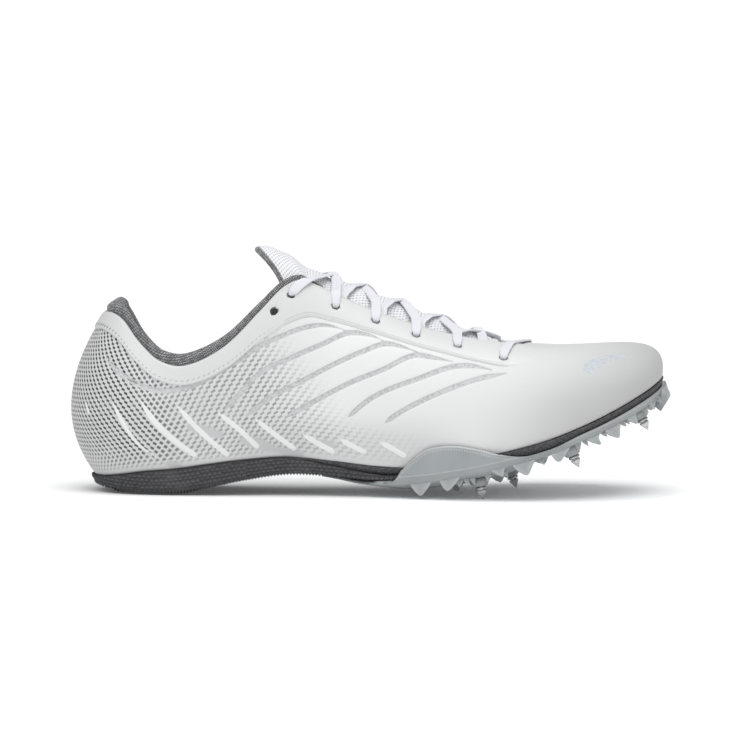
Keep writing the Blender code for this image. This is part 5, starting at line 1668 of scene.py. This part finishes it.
def make_laces():
    """One flat lace: a bar at the toe end, then both halves zigzag up through the eyelets."""

    def ground(x, y):
        """Height of the shoe under a place."""
        hits = [tree.ray_cast(Vector((x, y, 0.3)), Vector((0.0, 0.0, -1.0)))[0] for tree in grounds]
        return max([hit.z for hit in hits if hit is not None] or [0.0])

    def taut(start, end, held=0.0, turning=1.0):
        """A taut line over the shoe. X is held for a share of the way, then turns to the far side."""
        steps = np.linspace(0.0, 1.0, 49)
        plan = start[:2] + (end[:2] - start[:2]) * steps[:, None]
        late = np.clip((steps - held) / (1.0 - held), 0.0, 1.0)
        plan[:, 0] = start[0] + (end[0] - start[0]) * late**turning
        way = np.gradient(plan, axis=0)
        aside = unit(way)[:, ::-1] * [-1.0, 1.0]
        hull = []
        for step, spot, out in zip(steps, plan, aside):
            height = max(ground(*(spot + out * LACE_WIDTH * s)) for s in (-0.4, 0.0, 0.4))
            while len(hull) > 1:
                (first, low), (second, high) = hull[-2:]
                if (high - low) * (step - first) > (height - low) * (second - first):
                    break
                hull.pop()
            hull.append((step, height))
        heights = np.interp(steps, *np.array(hull).T)
        slope = np.gradient(heights) / np.linalg.norm(way, axis=1)
        heights = heights + (0.0004 + LACE_THICKNESS / 2) * np.sqrt(1 + slope**2)
        return np.column_stack([plan, heights])

    def dive(number, side_name):
        """Where the lace goes under the throat's edge: beside the topline, and below it inside."""
        near, beyond = (eyelet_spot(k, side_name)[0] for k in (number, number + 1))
        lap = near * (1 - LACE_DIVE) + beyond * LACE_DIVE
        inward = 0.0030 if side_name == "lateral" else -0.0030
        return topline(lap) + np.array([0.0, inward, 0.0]), below_topline(lap, 0.003, UPPER_WALL + 0.0008)

    def over_panel(side_name):
        """From the throat's edge slanting back over the panel to the first laced eyelet."""
        lap, distance = eyelet_spot(FIRST_LACED, side_name)
        way = np.linspace(0.0, 1.0, 9)
        laps = lap + TOP_LACE_SLANT * (1.0 - way) * (1.0 if side_name == "lateral" else -1.0)
        return below_topline(laps, distance * way, -PANEL_STEP - LACE_THICKNESS / 2 - 0.0003)

    def passing(number, side_name, outwards):
        """Through an eyelet: from inside to outside, or the other way."""
        middle, normal = eyelet(number, side_name)
        line = np.array([middle + normal * d for d in (-0.0034, -0.0012, 0.0002)])
        widths = np.array([0.7, 0.62, 0.66])
        return (line, widths) if outwards else (line[::-1], widths[::-1])

    other = {"lateral": "medial", "medial": "lateral"}
    last = len(EYELETS) - 1

    def half(side_name, over):
        """From the last eyelet on one side up to the first laced one. The upper half arches over."""
        spots, widths = [], []

        def add(line, width=1.0):
            spots.append(np.atleast_2d(line))
            widths.append(np.broadcast_to(width, len(spots[-1])))

        add(*passing(last, side_name, outwards=False))
        far = other[side_name]
        begin = dive(last - 1, side_name)[0] + np.array([LACE_HIDDEN, 0.0, 0.0])
        for number in range(last - 1, FIRST_LACED - 1, -1):
            goal, under = dive(number, far)
            top = number == FIRST_LACED
            if top:
                goal = over_panel(far)[0]
            line = taut(begin, goal, TOP_LACE_HELD if top else LACE_HELD, 1.6 if top else 1.15)
            if over:
                line[:, 2] += 0.0009 * np.exp(-(((np.linspace(0, 1, len(line)) - 0.5) / 0.13) ** 2))
            add(line[2 if number < last - 1 else 0 : -1])
            if top:
                add(over_panel(far)[1:-1])
                add(*passing(number, far, outwards=False))
                middle, normal = eyelet(number, far)
                add(middle - normal * 0.0036 + np.array([-0.004, 0.0, -0.006]), 0.8)
                break
            add(under, 0.9)
            add(*passing(number, far, outwards=True))
            begin = eyelet(number, far)[0]
            far = other[far]
        return np.concatenate(spots), np.concatenate(widths)

    bar = taut(eyelet(last, "lateral")[0], eyelet(last, "medial")[0])[2:-2]
    first, first_width = half("lateral", True)
    second, second_width = half("medial", False)
    spots = np.concatenate([first[::-1], bar, second])
    widths = np.concatenate([first_width[::-1], np.ones(len(bar)), second_width])
    run = runs_along(spots)
    even = np.linspace(0.0, run[-1], LACE_STEPS)
    path = resampled(even, run, spots)
    wide = np.interp(even, run, widths)
    smooth_ends_held(path, 6)
    smooth_ends_held(wide, 6)
    along = unit(np.gradient(path, axis=0))
    beside = np.array([1.0, 0.0, 0.0]) - along * along[:, :1]
    smooth_ends_held(beside, 10)
    beside = unit(beside - along * np.einsum("ij,ij->i", along, beside)[:, None])
    up = np.cross(beside, along)
    turn = np.linspace(0.0, 2 * math.pi, 21)[:-1]
    level = np.abs(np.cos(turn)) ** 0.55 * np.sign(np.cos(turn))
    upright = np.abs(np.sin(turn)) ** 0.8 * np.sign(np.sin(turn))
    thick = LACE_THICKNESS * (1.0 + 0.35 * (1.0 - wide))
    ring = beside[:, None] * (level * LACE_WIDTH / 2)[None, :, None] * wide[:, None, None]
    ring = ring + up[:, None] * (upright / 2)[None, :, None] * thick[:, None, None]
    points, faces = loft(path[:, None] + ring)
    cells = with_hubs(stack(even[:, None] / MM, level[None, :], 0.0))
    piece = make_piece("shoe_lace", points, faces, lace_material(), {"cells": cells})
    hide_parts("lace_toe_bar", *[f"lace_crossing_{k}" for k in range(1, last)])


def make_stage():
    """White floor, soft light from above and around, and the camera at the photograph's angle."""
    floor = bpy.data.meshes.new("floor")
    floor.from_pydata([(-6, -6, 0), (6, -6, 0), (6, 6, 0), (-6, 6, 0)], [], [(0, 1, 2, 3)])
    white, _, into = new_material("floor_white", 0.9)
    for label, value in (
        ("Base Color", (0.97, 0.97, 0.97, 1.0)),
        ("Specular IOR Level", 0.1),
        ("Emission Color", (1.0, 1.0, 1.0, 1.0)),
        ("Emission Strength", 0.06),
    ):
        into[label].default_value = value
    floor.materials.append(white)
    ground = bpy.data.objects.new("floor", floor)
    bpy.context.scene.collection.objects.link(ground)
    world = bpy.data.worlds.new("studio")
    bpy.context.scene.world = world
    world.use_nodes = True
    r = Recipe(world.node_tree)
    glow = world.node_tree.nodes["Background"]
    seen = r.node("ShaderNodeLightPath").outputs["Is Camera Ray"]
    r.put(glow.inputs["Color"], r.mix(seen, (0.50, 0.505, 0.51), (1.2, 1.2, 1.2)))
    glow.inputs["Strength"].default_value = 1.0

    def lamp(name, kind, place, turn, energy, **settings):
        data = bpy.data.lights.new(name, kind)
        data.energy = energy
        for key, value in settings.items():
            setattr(data, key, value)
        made = bpy.data.objects.new(name, data)
        made.location = place
        made.rotation_euler = [math.radians(angle) for angle in turn]
        bpy.context.scene.collection.objects.link(made)

    lamp("overhead", "SUN", (0, 0, 2), (16, 6, 0), 1.75, angle=math.radians(50))
    lamp("softbox", "AREA", (-0.2, -1.2, 1.1), (50, 0, -8), 3.5, shape="RECTANGLE", size=1.2, size_y=0.6)
    rise, tilt = math.radians(CAMERA_RISE), math.radians(CAMERA_ROLL)
    way = Vector((0.0, math.cos(rise), -math.sin(rise)))
    level, upright = Vector((1.0, 0.0, 0.0)), Vector((0.0, math.sin(rise), math.cos(rise)))
    right = level * math.cos(tilt) + upright * math.sin(tilt)
    top = upright * math.cos(tilt) - level * math.sin(tilt)
    data = bpy.data.cameras.new("camera")
    data.lens = FOCAL_LENGTH
    data.sensor_width = 36.0
    camera = bpy.data.objects.new("camera", data)
    turn = Matrix((right, top, -way)).transposed().to_4x4()
    camera.matrix_world = Matrix.Translation(Vector(LOOK_AT) - way * CAMERA_DISTANCE) @ turn
    bpy.context.scene.collection.objects.link(camera)
    bpy.context.scene.camera = camera
    bpy.context.scene.view_settings.view_transform = "Standard"


make_stage()
make_upper()
make_lining()
make_tongue()
make_midsole()
make_footbed()
make_heel_rubber()
make_plate()
make_pins()
make_laces()
